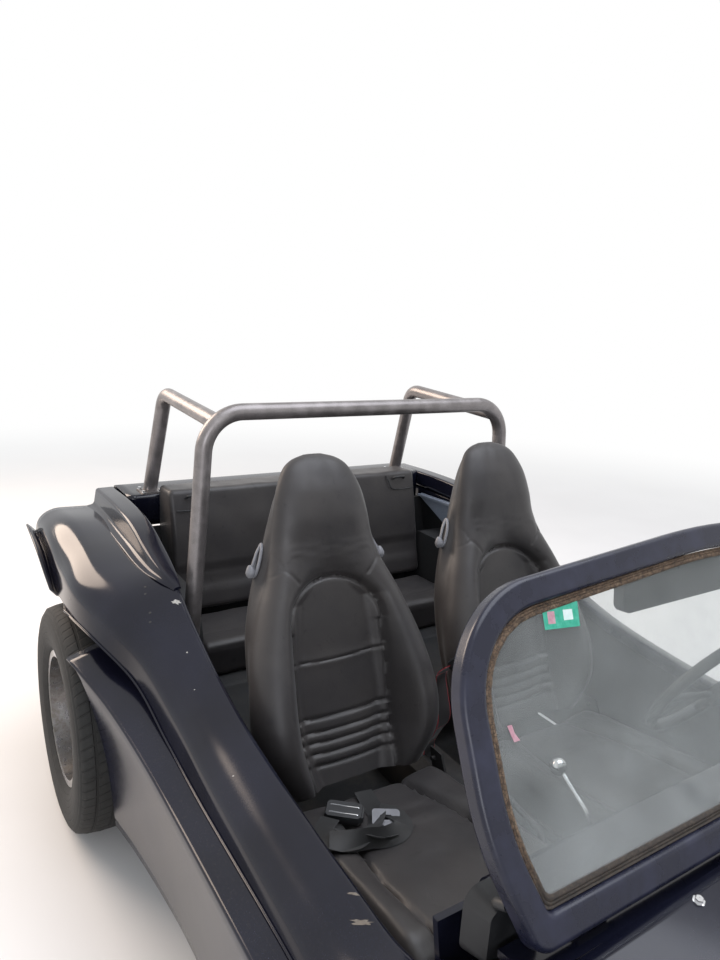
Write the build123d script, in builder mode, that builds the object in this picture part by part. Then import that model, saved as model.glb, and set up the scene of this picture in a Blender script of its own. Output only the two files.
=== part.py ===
from math import cos, radians, sin, tan
import os

from build123d import *

os.makedirs("parts", exist_ok=True)

# Frame: X forward, Y to the left, Z up, origin on the ground midway between the axles. Millimetres.

# Chassis sizes
wheelbase = 2400.0
front_overhang = 680.0
rear_overhang = 680.0
ground_clearance = 205.0
rear_tyre_radius = 345.0
rear_tyre_width = 232.0
rear_half_track = 803.0
front_tyre_radius = 322.0
front_tyre_width = 190.0
front_half_track = 742.0
rim_radius = 190.0
steer_limit = 30.0
tyre_clearance = 30.0
front_arch_clearance = 72.0
running_clearance = 0.05
part_gap = 0.3
moving_gap = 6.0

rear_x = -wheelbase / 2
front_x = wheelbase / 2

# Body shell sizes
shell_wall = 6.0
flange_depth = 42.0
edge_radius = 12.0
lip_radius = 1.5
shoulder_radius = 95.0
side_radius = 62.0
cockpit_half_width = 630.0
deck_height = 935.0
deck_front = rear_x - 300.0
deck_rear = rear_x - 480.0
cowl_x = rear_x + 1620.0
cowl_height = 800.0

# Windscreen sizes
screen_tube = 44.0
screen_depth = 34.0
screen_half_width = 648.0
screen_height = 512.0
screen_rake = 29.2
glass_thickness = 5.0
seal_width = 16.0
glass_overlap = 8.0

# Roll cage sizes
cage_radius = 24.0
cage_height = 1307.0
cage_half_width = 540.0
cage_foot_half_width = 598.0
cage_x = rear_x + 242.0
cage_bend = 115.0
stay_bend = 60.0
stay_x = rear_x - 234.0
stay_foot_x = rear_x - 342.0
stay_half_width = 502.0
foot_plate = 8.0

# Seat sizes
seat_spacing = 310.0
seat_half_width = 272.0
seat_hinge_x = rear_x + 780.0
seat_hinge_z = 425.0
seat_recline = 20.0
back_length = 868.0
cushion_length = 540.0
cushion_width = 460.0
cushion_thickness = 120.0
bench_half_width = 505.0
bench_front = rear_x + 158.0
bench_top = 567.0
bench_back_top = 978.0

# Steering sizes
wheel_x = rear_x + 1270.0
wheel_z = 800.0
wheel_y = 325.0
wheel_radius = 180.0
column_tilt = 28.0
column_shaft = 10.0
column_length = 560.0

# Headlamp sizes
lamp_radius = 92.0
lamp_y = 700.0
lamp_z = 665.0
lamp_length = 100.0
lamp_rim = 12.0
lamp_x = front_x + 415

# Running gear sizes
kingpin_y = 596.0
kingpin_radius = 9.0
beam_tube_radius = 30.0
beam_spacing = 150.0
beam_setback = 135.0
spindle_radius = 14.0
drum_radius = 118.0
drum_width = 46.0


def moved_corners(points, step):
    """Corners of a path moved sideways to the right of its direction, to the left if step is negative."""
    corners = []
    for index, point in enumerate(points):
        legs = []
        if index > 0:
            legs.append((point - points[index - 1]).normalized())
        if index < len(points) - 1:
            legs.append((points[index + 1] - point).normalized())
        sides = [Vector(leg.Y, -leg.X) for leg in legs]
        total = sides[0] + sides[-1]
        corners.append(point + total * (step / (1 + sides[0].dot(sides[-1]))))
    return corners


def rounded_path(points, bends):
    """Lines through the corners, each corner rounded by an arc of its bend radius."""
    start = points[0]
    for before, corner, after, bend in zip(points, points[1:], points[2:], bends):
        arrive = (corner - before).normalized()
        leave = (after - corner).normalized()
        half_turn = radians(arrive.get_angle(leave) / 2)
        reach = bend * tan(half_turn)
        inward = (leave - arrive).normalized()
        middle = corner + inward * (bend / cos(half_turn) - bend)
        Line(start, corner - arrive * reach)
        ThreePointArc(corner - arrive * reach, middle, corner + leave * reach)
        start = corner + leave * reach
    Line(start, points[-1])


def sheet_section(corners, bends, thickness):
    """Closed section of a sheet that follows a rounded path, its thickness to the right of the path."""
    outer = [Vector(*corner) for corner in corners]
    inner = moved_corners(outer, thickness)
    inner_bends = []
    for before, corner, after, bend in zip(outer, outer[1:], outer[2:], bends):
        right_turn = (corner - before).cross(after - corner).Z < 0
        inner_bends.append(bend - thickness if right_turn else bend + thickness)
    with BuildSketch() as section:
        with BuildLine():
            rounded_path(outer, bends)
            Line(outer[-1], inner[-1])
            rounded_path(inner[::-1], inner_bends[::-1])
            Line(inner[0], outer[0])
        make_face()
    return section.sketch


def tube(points, bends, radius):
    """Round bar along a bent path."""
    corners = [Vector(*point) for point in points]
    with BuildPart() as bar:
        with BuildLine():
            rounded_path(corners, bends)
        with BuildSketch(Plane(corners[0], z_dir=corners[1] - corners[0])):
            Circle(radius)
        sweep()
    return bar.part


def eased_rows(rows, steps):
    """Rows of a table with further rows between them, each column on a smooth curve over the first one."""
    slopes = []
    for index, row in enumerate(rows):
        before = rows[max(index - 1, 0)]
        after = rows[min(index + 1, len(rows) - 1)]
        slopes.append([(high - low) / (after[0] - before[0]) for low, high in zip(before, after)])
    eased = []
    for start, end, leave, arrive in zip(rows, rows[1:], slopes, slopes[1:]):
        run = end[0] - start[0]
        for step in range(steps):
            t = step / steps
            from_share = 2 * t**3 - 3 * t**2 + 1
            to_share = 3 * t**2 - 2 * t**3
            from_slope = (t**3 - 2 * t**2 + t) * run
            to_slope = (t**3 - t**2) * run
            columns = zip(start, end, leave, arrive)
            eased.append([a * from_share + b * to_share + m * from_slope + n * to_slope for a, b, m, n in columns])
    return eased + [list(rows[-1])]


def mirrored(points):
    """The path and its mirror image about the car's centre plane, as one path."""
    return list(points) + [(x, -y, z) for x, y, z in reversed(points)]


def save_pair(piece, name):
    """One node with the left piece and its mirror image, which don't touch."""
    with BuildPart() as pair:
        add(piece.part)
        mirror(about=Plane.XZ)
    save(pair, name)


def save_hands(piece, name):
    """Two nodes, the left piece and its mirror image."""
    save(piece, f"{name}_left")
    with BuildPart() as right:
        add(piece.part.mirror(Plane.XZ))
    save(right, f"{name}_right")


def save(piece, name):
    piece.part.label = name
    export_step(piece.part, f"parts/{name}.step")


# Body side, from the cockpit edge over the shoulder and down to the hem.
# The rear rows hold to the rear axle, the cabin rows scale with the wheelbase, the front rows hold to the front axle.
tyre_top = 2 * rear_tyre_radius
rear_rows = [
    # x from rear axle, edge_y, edge_z, crest_y, crest_z, side_y, side_z, hem_y, hem_z, lip_out, lip_up
    (-470, 618, 868, 820, 874, 874, 846, 878, tyre_top + 112, 27, 24),
    (-270, 620, 872, 830, 888, 878, 836, 881, tyre_top + 92, 27, 22),
    (-80, 622, 872, 846, 868, 878, 798, 883, tyre_top + 22, 14, 8),
    (105, 626, 868, 838, 838, 872, 788, 880, tyre_top + 30, 5, 0),
    (256, 631, 856, 785, 812, 830, 766, 846, tyre_top + 14, 5, 0),
    (410, 632, 790, 742, 752, 778, 708, 786, tyre_top - 45, 5, 0),
]
cabin_rows = [
    # share of wheelbase, and the same columns
    (0.25, 630, 716, 713, 690, 752, 640, 765, 582, 5, 0),
    (0.34, 630, 668, 708, 645, 748, 598, 759, 553, 5, 0),
    (0.50, 630, 632, 708, 612, 748, 576, 760, 548, 5, 0),
    (0.60, 632, 648, 714, 622, 756, 588, 769, 551, 5, 0),
    (0.675, 635, cowl_height, 722, 768, 778, 700, 792, 580, 5, 0),
]
front_rows = [
    # x from front axle, and the same columns
    (-500, 560, 770, 700, 782, 845, 722, 862, 585, 5, 0),
    (-290, 500, 735, 650, 804, 850, 770, 884, 560, 5, 0),
    (0, 430, 680, 610, 822, 852, 800, 902, 555, 5, 0),
    (250, 372, 612, 595, 762, 846, 742, 892, 515, 5, 0),
    (375, 335, 556, 585, 668, 818, 650, 862, 462, 5, 0),
    (432, 322, 512, 580, 592, 796, 578, 836, 420, 5, 0),
    (462, 316, 470, 578, 520, 778, 508, 816, 378, 5, 0),
]
side_rows = [(rear_x + row[0], *row[1:]) for row in rear_rows]
side_rows += [(rear_x + wheelbase * row[0], *row[1:]) for row in cabin_rows]
side_rows += [(front_x + row[0], *row[1:]) for row in front_rows]

# Side pod: a flange behind the hem, a ledge below it, and a skirt that hangs from the ledge.
pod_rows = [
    # x, root_y, root_z, ledge_y, ledge_z, skirt_y, skirt_z
    (rear_x + 190, 832, 668, 914, 636, 874, 205),
    (rear_x + 256, 812, 652, 898, 626, 862, 205),
    (rear_x + 410, 774, 616, 864, 598, 830, 205),
    (rear_x + 0.25 * wheelbase, 757, 575, 838, 566, 806, 203),
    (rear_x + 0.34 * wheelbase, 751, 549, 824, 541, 790, 200),
    (rear_x + 0.50 * wheelbase, 752, 544, 822, 536, 788, 200),
    (rear_x + 0.60 * wheelbase, 761, 547, 826, 538, 790, 200),
    (rear_x + 0.675 * wheelbase, 784, 576, 838, 566, 798, 203),
    (front_x - 500, 854, 581, 876, 572, 824, 210),
    (front_x - 290, 876, 556, 892, 548, 834, 210),
]

arch_inner = 560.0
arch_depth = 500.0
rear_cut = rear_tyre_radius + tyre_clearance
front_cut = front_tyre_radius + front_arch_clearance
pod_flange = 26.0
pod_inset = 12.0
pod_drop = 0.8
row_steps = 2

with BuildPart() as side_panel:
    for row in eased_rows(side_rows, row_steps):
        x, edge_y, edge_z, crest_y, crest_z, side_y, side_z, hem_y, hem_z, lip_out, lip_up = row
        corners = [(edge_y, edge_z - flange_depth), (edge_y, edge_z), (crest_y, crest_z)]
        corners += [(side_y, side_z), (hem_y, hem_z), (hem_y + lip_out, hem_z + lip_up)]
        with BuildSketch(Plane.YZ.offset(x)):
            add(sheet_section(corners, [edge_radius, shoulder_radius, side_radius, lip_radius], shell_wall))
    loft(ruled=True)
    with BuildSketch(Plane.XZ.offset(-arch_inner)):
        with Locations((front_x, front_tyre_radius)):
            Circle(front_cut)
    extrude(amount=-arch_depth, mode=Mode.SUBTRACT)
    with BuildSketch(Plane.YZ.offset(lamp_x + 40)):
        with Locations((lamp_y, lamp_z)):
            Circle(lamp_radius + 1)
    extrude(amount=-(lamp_length + 40), mode=Mode.SUBTRACT)

with BuildPart() as pod_panel:
    for x, root_y, root_z, ledge_y, ledge_z, skirt_y, skirt_z in eased_rows(pod_rows, row_steps):
        corners = [(root_y - pod_inset - 2, root_z + pod_flange), (root_y - pod_inset, root_z - pod_drop)]
        corners += [(ledge_y, ledge_z - pod_drop), (skirt_y, skirt_z)]
        with BuildSketch(Plane.YZ.offset(x)):
            add(sheet_section(corners, [8.0, 9.0], shell_wall))
    loft(ruled=True)
    for axle, tyre_height, cut in ((rear_x, rear_tyre_radius, rear_cut), (front_x, front_tyre_radius, front_cut)):
        with BuildSketch(Plane.XZ.offset(-arch_inner)):
            with Locations((axle, tyre_height)):
                Circle(cut)
        extrude(amount=-arch_depth, mode=Mode.SUBTRACT)

save_pair(side_panel, "body_sides")
save_pair(pod_panel, "side_pods")

# Rear deck with its turned edges, and the flat coaming bands that run forward from it.
deck_flange = 105.0
band_width = 64.0
band_gap = 2.0
band_rows = [
    # x, inner_y, top_z, drop
    (rear_x - 470, 612, deck_height - 3, 58),
    (rear_x - 270, 613, deck_height + 4, 60),
    (rear_x - 80, 615, deck_height + 2, 60),
    (rear_x + 105, 618, deck_height - 30, 32),
    (rear_x + 215, 621, deck_height - 52, 14),
]
with BuildPart() as rear_deck:
    deck_path = [(deck_front, deck_height - deck_flange), (deck_front, deck_height), (deck_rear, deck_height)]
    deck_path.append((deck_rear - 14, deck_height - 72))
    with BuildSketch(Plane.XZ):
        add(sheet_section(deck_path, [12.0, 26.0], -shell_wall))
    extrude(amount=cockpit_half_width - 14, both=True)
    for x, inner_y, top_z, drop in eased_rows(band_rows, row_steps):
        with BuildSketch(Plane.YZ.offset(x)):
            corners = [(inner_y, top_z - drop), (inner_y, top_z), (inner_y + band_width, top_z)]
            corners.append((inner_y + band_width + 5, top_z - drop))
            add(sheet_section(corners, [8.0, 8.0], shell_wall))
    loft(ruled=True)
    mirror(about=Plane.XZ)
save(rear_deck, "rear_deck")

# Bonnet, and the nose panel between the front wings.
bonnet_gap = 1.1
bonnet_rows = [
    # x, half width, edge height, crown
    (cowl_x + 26, 632 - bonnet_gap, cowl_height, 22),
    (front_x - 500, 560 - bonnet_gap, 768, 34),
    (front_x - 290, 500 - bonnet_gap, 733, 44),
    (front_x, 430 - bonnet_gap, 678, 52),
    (front_x + 250, 372 - bonnet_gap, 610, 46),
    (front_x + 375, 335 - bonnet_gap, 554, 34),
    (front_x + 432, 322 - bonnet_gap, 510, 22),
]
with BuildPart() as bonnet:
    for x, half_width, edge_z, crown in eased_rows(bonnet_rows, row_steps):
        with BuildSketch(Plane.YZ.offset(x)):
            with BuildLine():
                ThreePointArc((-half_width, edge_z), (0, edge_z + crown), (half_width, edge_z))
                Line((half_width, edge_z), (half_width, edge_z - shell_wall))
                ThreePointArc((half_width, edge_z - shell_wall), (0, edge_z + crown - shell_wall),
                              (-half_width, edge_z - shell_wall))
                Line((-half_width, edge_z - shell_wall), (-half_width, edge_z))
            make_face()
    loft(ruled=True)
save(bonnet, "bonnet")

nose_height = 500.0
nose_bottom = 300.0
nose_x = front_x + 440
nose_half_width = 480.0
nose_sweep = 81.0
with BuildPart() as nose_panel:
    with BuildSketch(Plane.XY.offset(nose_bottom)):
        with BuildLine():
            ThreePointArc((nose_x - nose_sweep, -nose_half_width), (nose_x, 0), (nose_x - nose_sweep, nose_half_width))
            Line((nose_x - nose_sweep, nose_half_width), (nose_x - nose_sweep - shell_wall, nose_half_width))
            ThreePointArc((nose_x - nose_sweep - shell_wall, nose_half_width), (nose_x - shell_wall, 0),
                          (nose_x - nose_sweep - shell_wall, -nose_half_width))
            Line((nose_x - nose_sweep - shell_wall, -nose_half_width), (nose_x - nose_sweep, -nose_half_width))
        make_face()
    extrude(amount=nose_height - nose_bottom - 40)
    for hand in (1, -1):
        add(tube([(front_x + beam_setback + beam_tube_radius + part_gap, hand * 130, nose_bottom + 91),
                  (nose_x - 9, hand * 130, nose_bottom + 91)], [], 12.0))
save(nose_panel, "nose_panel")

# Cockpit tub: floor, step over the torsion tube, bench pan, rear wall and front bulkhead in one sheet.
tub_half_width = 640.0
tub_wall = 6.0
floor_z = ground_clearance
step_z = 425.0
tunnel_half_width = 66.0
tunnel_top = 352.0
bulkhead_x = rear_x + 1860
hump_inner = 518.0
hump_front = rear_x + 200
hump_rear = rear_x - 220
hump_top = 730.0
tub_path = [
    (cowl_x + 60, 735), (bulkhead_x, 560), (bulkhead_x + 40, floor_z), (rear_x + 470, floor_z), (rear_x + 440, step_z),
    (rear_x + 178, step_z), (rear_x + 150, 452), (rear_x - 195, 440), (rear_x - 292, deck_height - deck_flange - 4),
]
rear_wall_foot = tub_path[-2]
rear_wall_run = (Vector(*tub_path[-1]) - Vector(*tub_path[-2])).normalized()
tub_side = [
    (bulkhead_x, floor_z + 10), (rear_x + 470, floor_z + 10), (rear_x + 430, step_z + 8), (rear_x - 250, step_z + 26),
    (rear_x - 430, 790), (rear_x - 400, 826), (rear_x + 160, 826), (rear_x + 380, 752),
    (rear_x + 0.25 * wheelbase, 672), (rear_x + 0.34 * wheelbase, 632), (rear_x + 0.5 * wheelbase, 598),
    (rear_x + 0.60 * wheelbase, 612), (rear_x + 0.675 * wheelbase, 735), (bulkhead_x, 560),
]
with BuildPart() as cockpit_tub:
    with BuildSketch(Plane.XZ):
        add(sheet_section(tub_path, [60.0, 60.0, 40.0, 40.0, 20.0, 20.0, 40.0], -tub_wall))
    extrude(amount=tub_half_width, both=True)
    with BuildSketch(Plane.XZ.offset(-tub_half_width)):
        with BuildLine():
            Polyline(*tub_side, close=True)
        make_face()
    extrude(amount=-tub_wall)
    with BuildSketch(Plane.XZ.offset(tub_half_width)):
        with BuildLine():
            Polyline(*tub_side, close=True)
        make_face()
    extrude(amount=tub_wall)
    with BuildSketch(Plane.YZ.offset(bulkhead_x - 70)):
        with BuildLine():
            tunnel_side = (tunnel_half_width, floor_z - 1)
            Polyline((-tunnel_half_width, floor_z - 1), tunnel_side, (tunnel_half_width, tunnel_top - 30),
                     (tunnel_half_width - 30, tunnel_top), (30 - tunnel_half_width, tunnel_top),
                     (-tunnel_half_width, tunnel_top - 30), close=True)
        make_face()
    extrude(amount=rear_x + 500 - bulkhead_x)
    for hand in (1, -1):
        with BuildSketch(Plane.XZ.offset(-hand * hump_inner)):
            with BuildLine():
                rounded_path([Vector(*corner) for corner in (
                    (hump_front - 60, step_z + 20), (hump_front, step_z + 20), (hump_front - 40, hump_top),
                    (hump_rear, hump_top), (hump_rear + 30, step_z + 20), (hump_front - 60, step_z + 20))],
                    [8.0, 150.0, 90.0, 8.0])
            make_face()
        extrude(amount=-hand * (tub_half_width - hump_inner + 2))
print("tub", len(cockpit_tub.solids()), cockpit_tub.part.is_valid)
save(cockpit_tub, "cockpit_tub")

# Windscreen: frame, seal and glass on one raked plane.
screen_x = cowl_x - 2
screen_base_z = 809.0
screen_plane = Plane((screen_x, 0, screen_base_z), x_dir=(0, 1, 0),
                     z_dir=(cos(radians(screen_rake)), 0, sin(radians(screen_rake))))
screen_corners = [
    (0, 0), (screen_half_width - 40, 0), (screen_half_width + 4, 150), (screen_half_width - 16, screen_height - 42),
    (0, screen_height), (16 - screen_half_width, screen_height - 42), (-4 - screen_half_width, 150),
    (40 - screen_half_width, 0), (0, 0),
]
screen_bends = [34.0, 420.0, 190.0, 1500.0, 190.0, 420.0, 34.0]


def screen_outline(inset):
    """Windscreen outline, drawn in by a distance."""
    corners = moved_corners([Vector(*corner) for corner in screen_corners], -inset)
    with BuildSketch() as outline:
        with BuildLine():
            rounded_path(corners, [max(bend - inset, 12.0) for bend in screen_bends])
        make_face()
    return outline.sketch


with BuildPart() as screen_frame:
    with BuildSketch(screen_plane):
        add(screen_outline(0))
        add(screen_outline(screen_tube), mode=Mode.SUBTRACT)
    extrude(amount=screen_depth / 2, both=True)
    rims = screen_frame.edges().filter_by(lambda edge: abs(abs(screen_plane.to_local_coords(edge.center()).Z)
                                                           - screen_depth / 2) < 0.01)
    fillet(rims, 9.0)
save(screen_frame, "screen_frame")

with BuildPart() as screen_seal:
    with BuildSketch(screen_plane):
        add(screen_outline(screen_tube))
        add(screen_outline(screen_tube + seal_width), mode=Mode.SUBTRACT)
    extrude(amount=7.0, both=True)
    with BuildSketch(screen_plane):
        add(screen_outline(screen_tube + seal_width - glass_overlap))
    extrude(amount=glass_thickness / 2, both=True, mode=Mode.SUBTRACT)
save(screen_seal, "screen_seal")

with BuildPart() as screen_glass:
    with BuildSketch(screen_plane):
        add(screen_outline(screen_tube + seal_width - glass_overlap))
    extrude(amount=glass_thickness / 2, both=True)
save(screen_glass, "screen_glass")

# Mirrors
with BuildPart() as interior_mirror:
    mirror_plane = Plane((rear_x + 1312, 25, 1122), x_dir=(0, 1, 0), z_dir=(-1, 0, -0.12))
    with BuildSketch(mirror_plane):
        RectangleRounded(330, 76, 22)
    extrude(amount=-22)
    stem_start = screen_plane.from_local_coords((25, screen_height - screen_tube / 2, -screen_depth / 2 - 34))
    stem_end = screen_plane.from_local_coords((25, screen_height - screen_tube / 2, -screen_depth / 2 - part_gap))
    add(tube([(rear_x + 1322, 25, 1128), tuple(stem_start), tuple(stem_end)], [16.0], 6.0))
save(interior_mirror, "interior_mirror")

mirror_x = rear_x + 1514
mirror_y = screen_half_width - 60
mirror_z = 790.0
with BuildPart() as wing_mirrors:
    with BuildSketch(Plane((mirror_x, mirror_y, mirror_z), x_dir=(0, 1, 0), z_dir=(1, 0, 0))):
        RectangleRounded(106, 112, 26)
    extrude(amount=44, taper=14)
    stem_foot = screen_plane.from_local_coords((screen_half_width - screen_tube / 2 - 10, 62,
                                                -screen_depth / 2 - part_gap))
    stem_knee = screen_plane.from_local_coords((screen_half_width - screen_tube / 2 - 10, 62, -screen_depth / 2 - 26))
    add(tube([tuple(stem_foot), tuple(stem_knee), (mirror_x + 30, mirror_y, mirror_z + 10)], [12.0], 8.0))
    mirror(about=Plane.XZ)
save(wing_mirrors, "wing_mirrors")

# Roll cage: one hoop, two stays, and a plate under each foot.
foot_x = cage_x + 15
with BuildPart() as roll_cage:
    hoop_side = [(foot_x, cage_foot_half_width, step_z + foot_plate), (cage_x, cage_half_width, cage_height)]
    add(tube(mirrored(hoop_side), [cage_bend, cage_bend], cage_radius))
    for hand in (1, -1):
        stay = [(cage_x - 4, hand * (cage_half_width - 36), cage_height - 30),
                (stay_x, hand * stay_half_width, cage_height - 11),
                (stay_foot_x, hand * (stay_half_width + 20), deck_height + foot_plate)]
        add(tube(stay, [stay_bend], cage_radius))
    with Locations((foot_x, cage_foot_half_width - 8, step_z + foot_plate / 2),
                   (foot_x, 8 - cage_foot_half_width, step_z + foot_plate / 2)):
        Box(90, 60, foot_plate)
    with Locations((stay_foot_x, stay_half_width + 20, deck_height + foot_plate / 2),
                   (stay_foot_x, -stay_half_width - 20, deck_height + foot_plate / 2)):
        Box(74, 74, foot_plate)
print("cage", len(roll_cage.solids()), roll_cage.part.is_valid)
save(roll_cage, "roll_cage")

# Front seats: frame, cushion, and a back that tips forward on a hinge beside the cushion.
recline = radians(seat_recline)
back_rows = [
    # height, half width in front and behind, half width between the crests, depth of crest, middle and rear face
    (4, 205, 190, 150, 8, 62, 124), (32, 224, 202, 166, -8, 66, 134), (68, 250, 211, 184, -28, 70, 142),
    (116, 266, 218, 200, -42, 72, 147), (175, seat_half_width, 226, 206, -46, 72, 148), (229, 269, 231, 205, -42, 70, 148),
    (284, 262, 233, 199, -34, 68, 147), (347, 250, 233, 190, -22, 65, 145), (419, 228, 226, 176, -8, 60, 142),
    (490, 203, 211, 156, 6, 54, 136), (544, 180, 196, 132, 16, 46, 130), (582, 165, 182, 108, 20, 34, 124),
    (634, 152, 162, 82, 18, 20, 118), (693, 142, 141, 62, 6, 8, 112), (752, 131, 119, 50, 6, 7, 104),
    (795, 116, 98, 42, 14, 15, 97), (834, 92, 68, 30, 26, 27, 88), (back_length, 40, 30, 16, 48, 49, 70),
]
hinge_gap = 16.0
pivot_radius = 6.0
boss_radius = 15.0
boss_y = cushion_width / 2 - 8
seat_ear = (seat_hinge_x - 60 * sin(radians(seat_recline)) - 45 * cos(radians(seat_recline)),
            seat_hinge_z + 60 * cos(radians(seat_recline)) - 45 * sin(radians(seat_recline)))
with BuildPart() as seat_back:
    for height, front_half, rear_half, crest_half, crest_depth, middle_depth, rear_depth in back_rows:
        origin = (seat_hinge_x - height * sin(recline), seat_spacing, seat_hinge_z + height * cos(recline))
        side_depth = (crest_depth + rear_depth) / 2
        half_outline = [(0.7 * crest_half, middle_depth), (crest_half, crest_depth), (front_half, side_depth)]
        half_outline.append((rear_half, rear_depth))
        with BuildSketch(Plane(origin, x_dir=(0, 1, 0), z_dir=(-sin(recline), 0, cos(recline)))):
            with BuildLine():
                Polyline(*half_outline, *[(-across, depth) for across, depth in reversed(half_outline)], close=True)
            make_face()
    loft(ruled=True)
    for side in (-1, 1):
        with BuildSketch(Plane.XZ.offset(-seat_spacing - side * (boss_y - 4))):
            with Locations((seat_hinge_x, seat_hinge_z), seat_ear):
                Circle(boss_radius)
            make_hull()
        extrude(amount=-side * 8)
        with BuildSketch(Plane.XZ.offset(-seat_spacing - side * (boss_y - 8))):
            with Locations((seat_hinge_x, seat_hinge_z)):
                Circle(pivot_radius + running_clearance)
        extrude(amount=-side * 12, mode=Mode.SUBTRACT)

cushion_path = [
    (seat_hinge_x + hinge_gap, seat_hinge_z - 14), (seat_hinge_x + cushion_length - 60, seat_hinge_z + 42),
    (seat_hinge_x + cushion_length, seat_hinge_z + 20), (seat_hinge_x + cushion_length - 20, seat_hinge_z - 80),
    (seat_hinge_x + hinge_gap, seat_hinge_z - 14 - cushion_thickness),
]
with BuildPart() as seat_cushion:
    with BuildSketch(Plane.XZ.offset(-seat_spacing)):
        with BuildLine():
            Polyline(*cushion_path, close=True)
        make_face()
    extrude(amount=cushion_width / 2, both=True)
    fillet(seat_cushion.edges().filter_by(Axis.Y), 18.0)

rail_z = floor_z
bracket_y = cushion_width / 2 + 5
pan_run = (Vector(*cushion_path[-2]) - Vector(*cushion_path[-1])).normalized()
pan_down = Vector(pan_run.Y, -pan_run.X)
pan_rear = Vector(*cushion_path[-1]) + pan_run * 24 + pan_down * part_gap
pan_front = pan_rear + pan_run * 436
with BuildPart() as seat_frame:
    for side in (-1, 1):
        with Locations((seat_hinge_x + 250, seat_spacing + side * 190, floor_z + 20)):
            Box(480, 32, 40)
        with BuildSketch(Plane.XZ.offset(-seat_spacing - side * bracket_y)):
            with BuildLine():
                Polyline((seat_hinge_x - 24, seat_hinge_z + 22), (seat_hinge_x + 24, seat_hinge_z + 22),
                         tuple(pan_rear + pan_run * 60)[:2], tuple(pan_front)[:2],
                         (pan_front.X, floor_z + 40), (seat_hinge_x + 40, floor_z + 40), close=True)
            make_face()
        extrude(amount=3.0, both=True)
        with BuildSketch(Plane.XZ.offset(-seat_spacing - side * (boss_y - 2))):
            with Locations((seat_hinge_x, seat_hinge_z)):
                Circle(pivot_radius)
        extrude(amount=-side * (bracket_y - boss_y + 2))
    with Locations((seat_hinge_x + 250, seat_spacing, floor_z + 45)):
        Box(420, 2 * bracket_y + 6, 12)
    with BuildSketch(Plane.XZ.offset(-seat_spacing)):
        with BuildLine():
            Polyline(tuple(pan_rear)[:2], tuple(pan_front)[:2], tuple(pan_front + pan_down * 4)[:2],
                     tuple(pan_rear + pan_down * 4)[:2], close=True)
        make_face()
    extrude(amount=bracket_y, both=True)

save_hands(seat_back, "seat_back")
save_pair(seat_cushion, "seat_cushions")
save_pair(seat_frame, "seat_frames")

# Rear bench: two cushions and two backs.
bench_split = 3.0
bench_run = (Vector(*tub_path[-2]) - Vector(*tub_path[-3])).normalized()
bench_base = Vector(*tub_path[-3]) + Vector(bench_run.Y, -bench_run.X) * part_gap
with BuildPart() as bench_cushions:
    with BuildSketch(Plane.XZ.offset(-bench_split)):
        with BuildLine():
            Polyline((bench_front, bench_top), tuple(bench_base - bench_run * 8)[:2],
                     tuple(bench_base + bench_run * 280)[:2], (bench_front - 250, bench_top - 8), close=True)
        make_face()
    extrude(amount=-(bench_half_width - bench_split))
    fillet(bench_cushions.edges().filter_by(Axis.Y), 16.0)
    mirror(about=Plane.XZ)
save(bench_cushions, "bench_cushions")

bench_back_x = bench_front - 250
wall_lean = 1.4
back_rear_x = tub_path[-1][0] - wall_lean
with BuildPart() as bench_backs:
    with BuildSketch(Plane.XZ.offset(-bench_split)):
        with BuildLine():
            Polyline((bench_back_x + 4, bench_top + 4), (bench_back_x - 92, bench_back_top),
                     (back_rear_x + part_gap, bench_back_top - 6), (back_rear_x + part_gap, deck_height - deck_flange),
                     (bench_back_x - 92, bench_top - 4), close=True)
        make_face()
    extrude(amount=-(bench_half_width - bench_split))
    fillet(bench_backs.edges().filter_by(Axis.Y), 14.0)
    mirror(about=Plane.XZ)
save(bench_backs, "bench_backs")

# Steering column and wheel
column_angle = radians(column_tilt)
column_dir = Vector(cos(column_angle), 0, -sin(column_angle))
wheel_centre = Vector(wheel_x, wheel_y, wheel_z)
wheel_plane = Plane(wheel_centre, x_dir=(0, 1, 0), z_dir=column_dir)
wheel_rim = 13.0
wheel_dish = 30.0
hub_radius = 34.0
column_gap = 60.0
column_tube = 21.0
with BuildPart() as steering_wheel:
    with BuildSketch(Plane(wheel_centre, x_dir=wheel_plane.y_dir, z_dir=(0, 1, 0))):
        with Locations((wheel_radius - wheel_rim, 0)):
            Circle(wheel_rim)
    revolve(axis=Axis(wheel_centre, column_dir))
    with BuildSketch(wheel_plane.offset(wheel_dish - 14)):
        Circle(hub_radius)
    extrude(amount=28)
    with BuildSketch(wheel_plane.offset(wheel_dish)):
        Circle(column_shaft)
    extrude(amount=column_gap + 160)
    for turn in (-90, 30, 150):
        reach = Vector(sin(radians(turn)), cos(radians(turn)))
        rim_end = wheel_plane.from_local_coords(reach * (wheel_radius - wheel_rim) + Vector(0, 0, 0))
        hub_end = wheel_plane.from_local_coords(reach * 12 + Vector(0, 0, wheel_dish))
        add(tube([tuple(hub_end), tuple(rim_end)], [], 8.0))
save(steering_wheel, "steering_wheel")

with BuildPart() as steering_column:
    with BuildSketch(wheel_plane.offset(wheel_dish + column_gap)):
        Circle(column_tube)
        Circle(column_shaft + running_clearance, mode=Mode.SUBTRACT)
    extrude(amount=170)
    with BuildSketch(wheel_plane.offset(wheel_dish + column_gap + 170)):
        Circle(column_tube)
    extrude(amount=column_length - 230)
save(steering_column, "steering_column")

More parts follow.
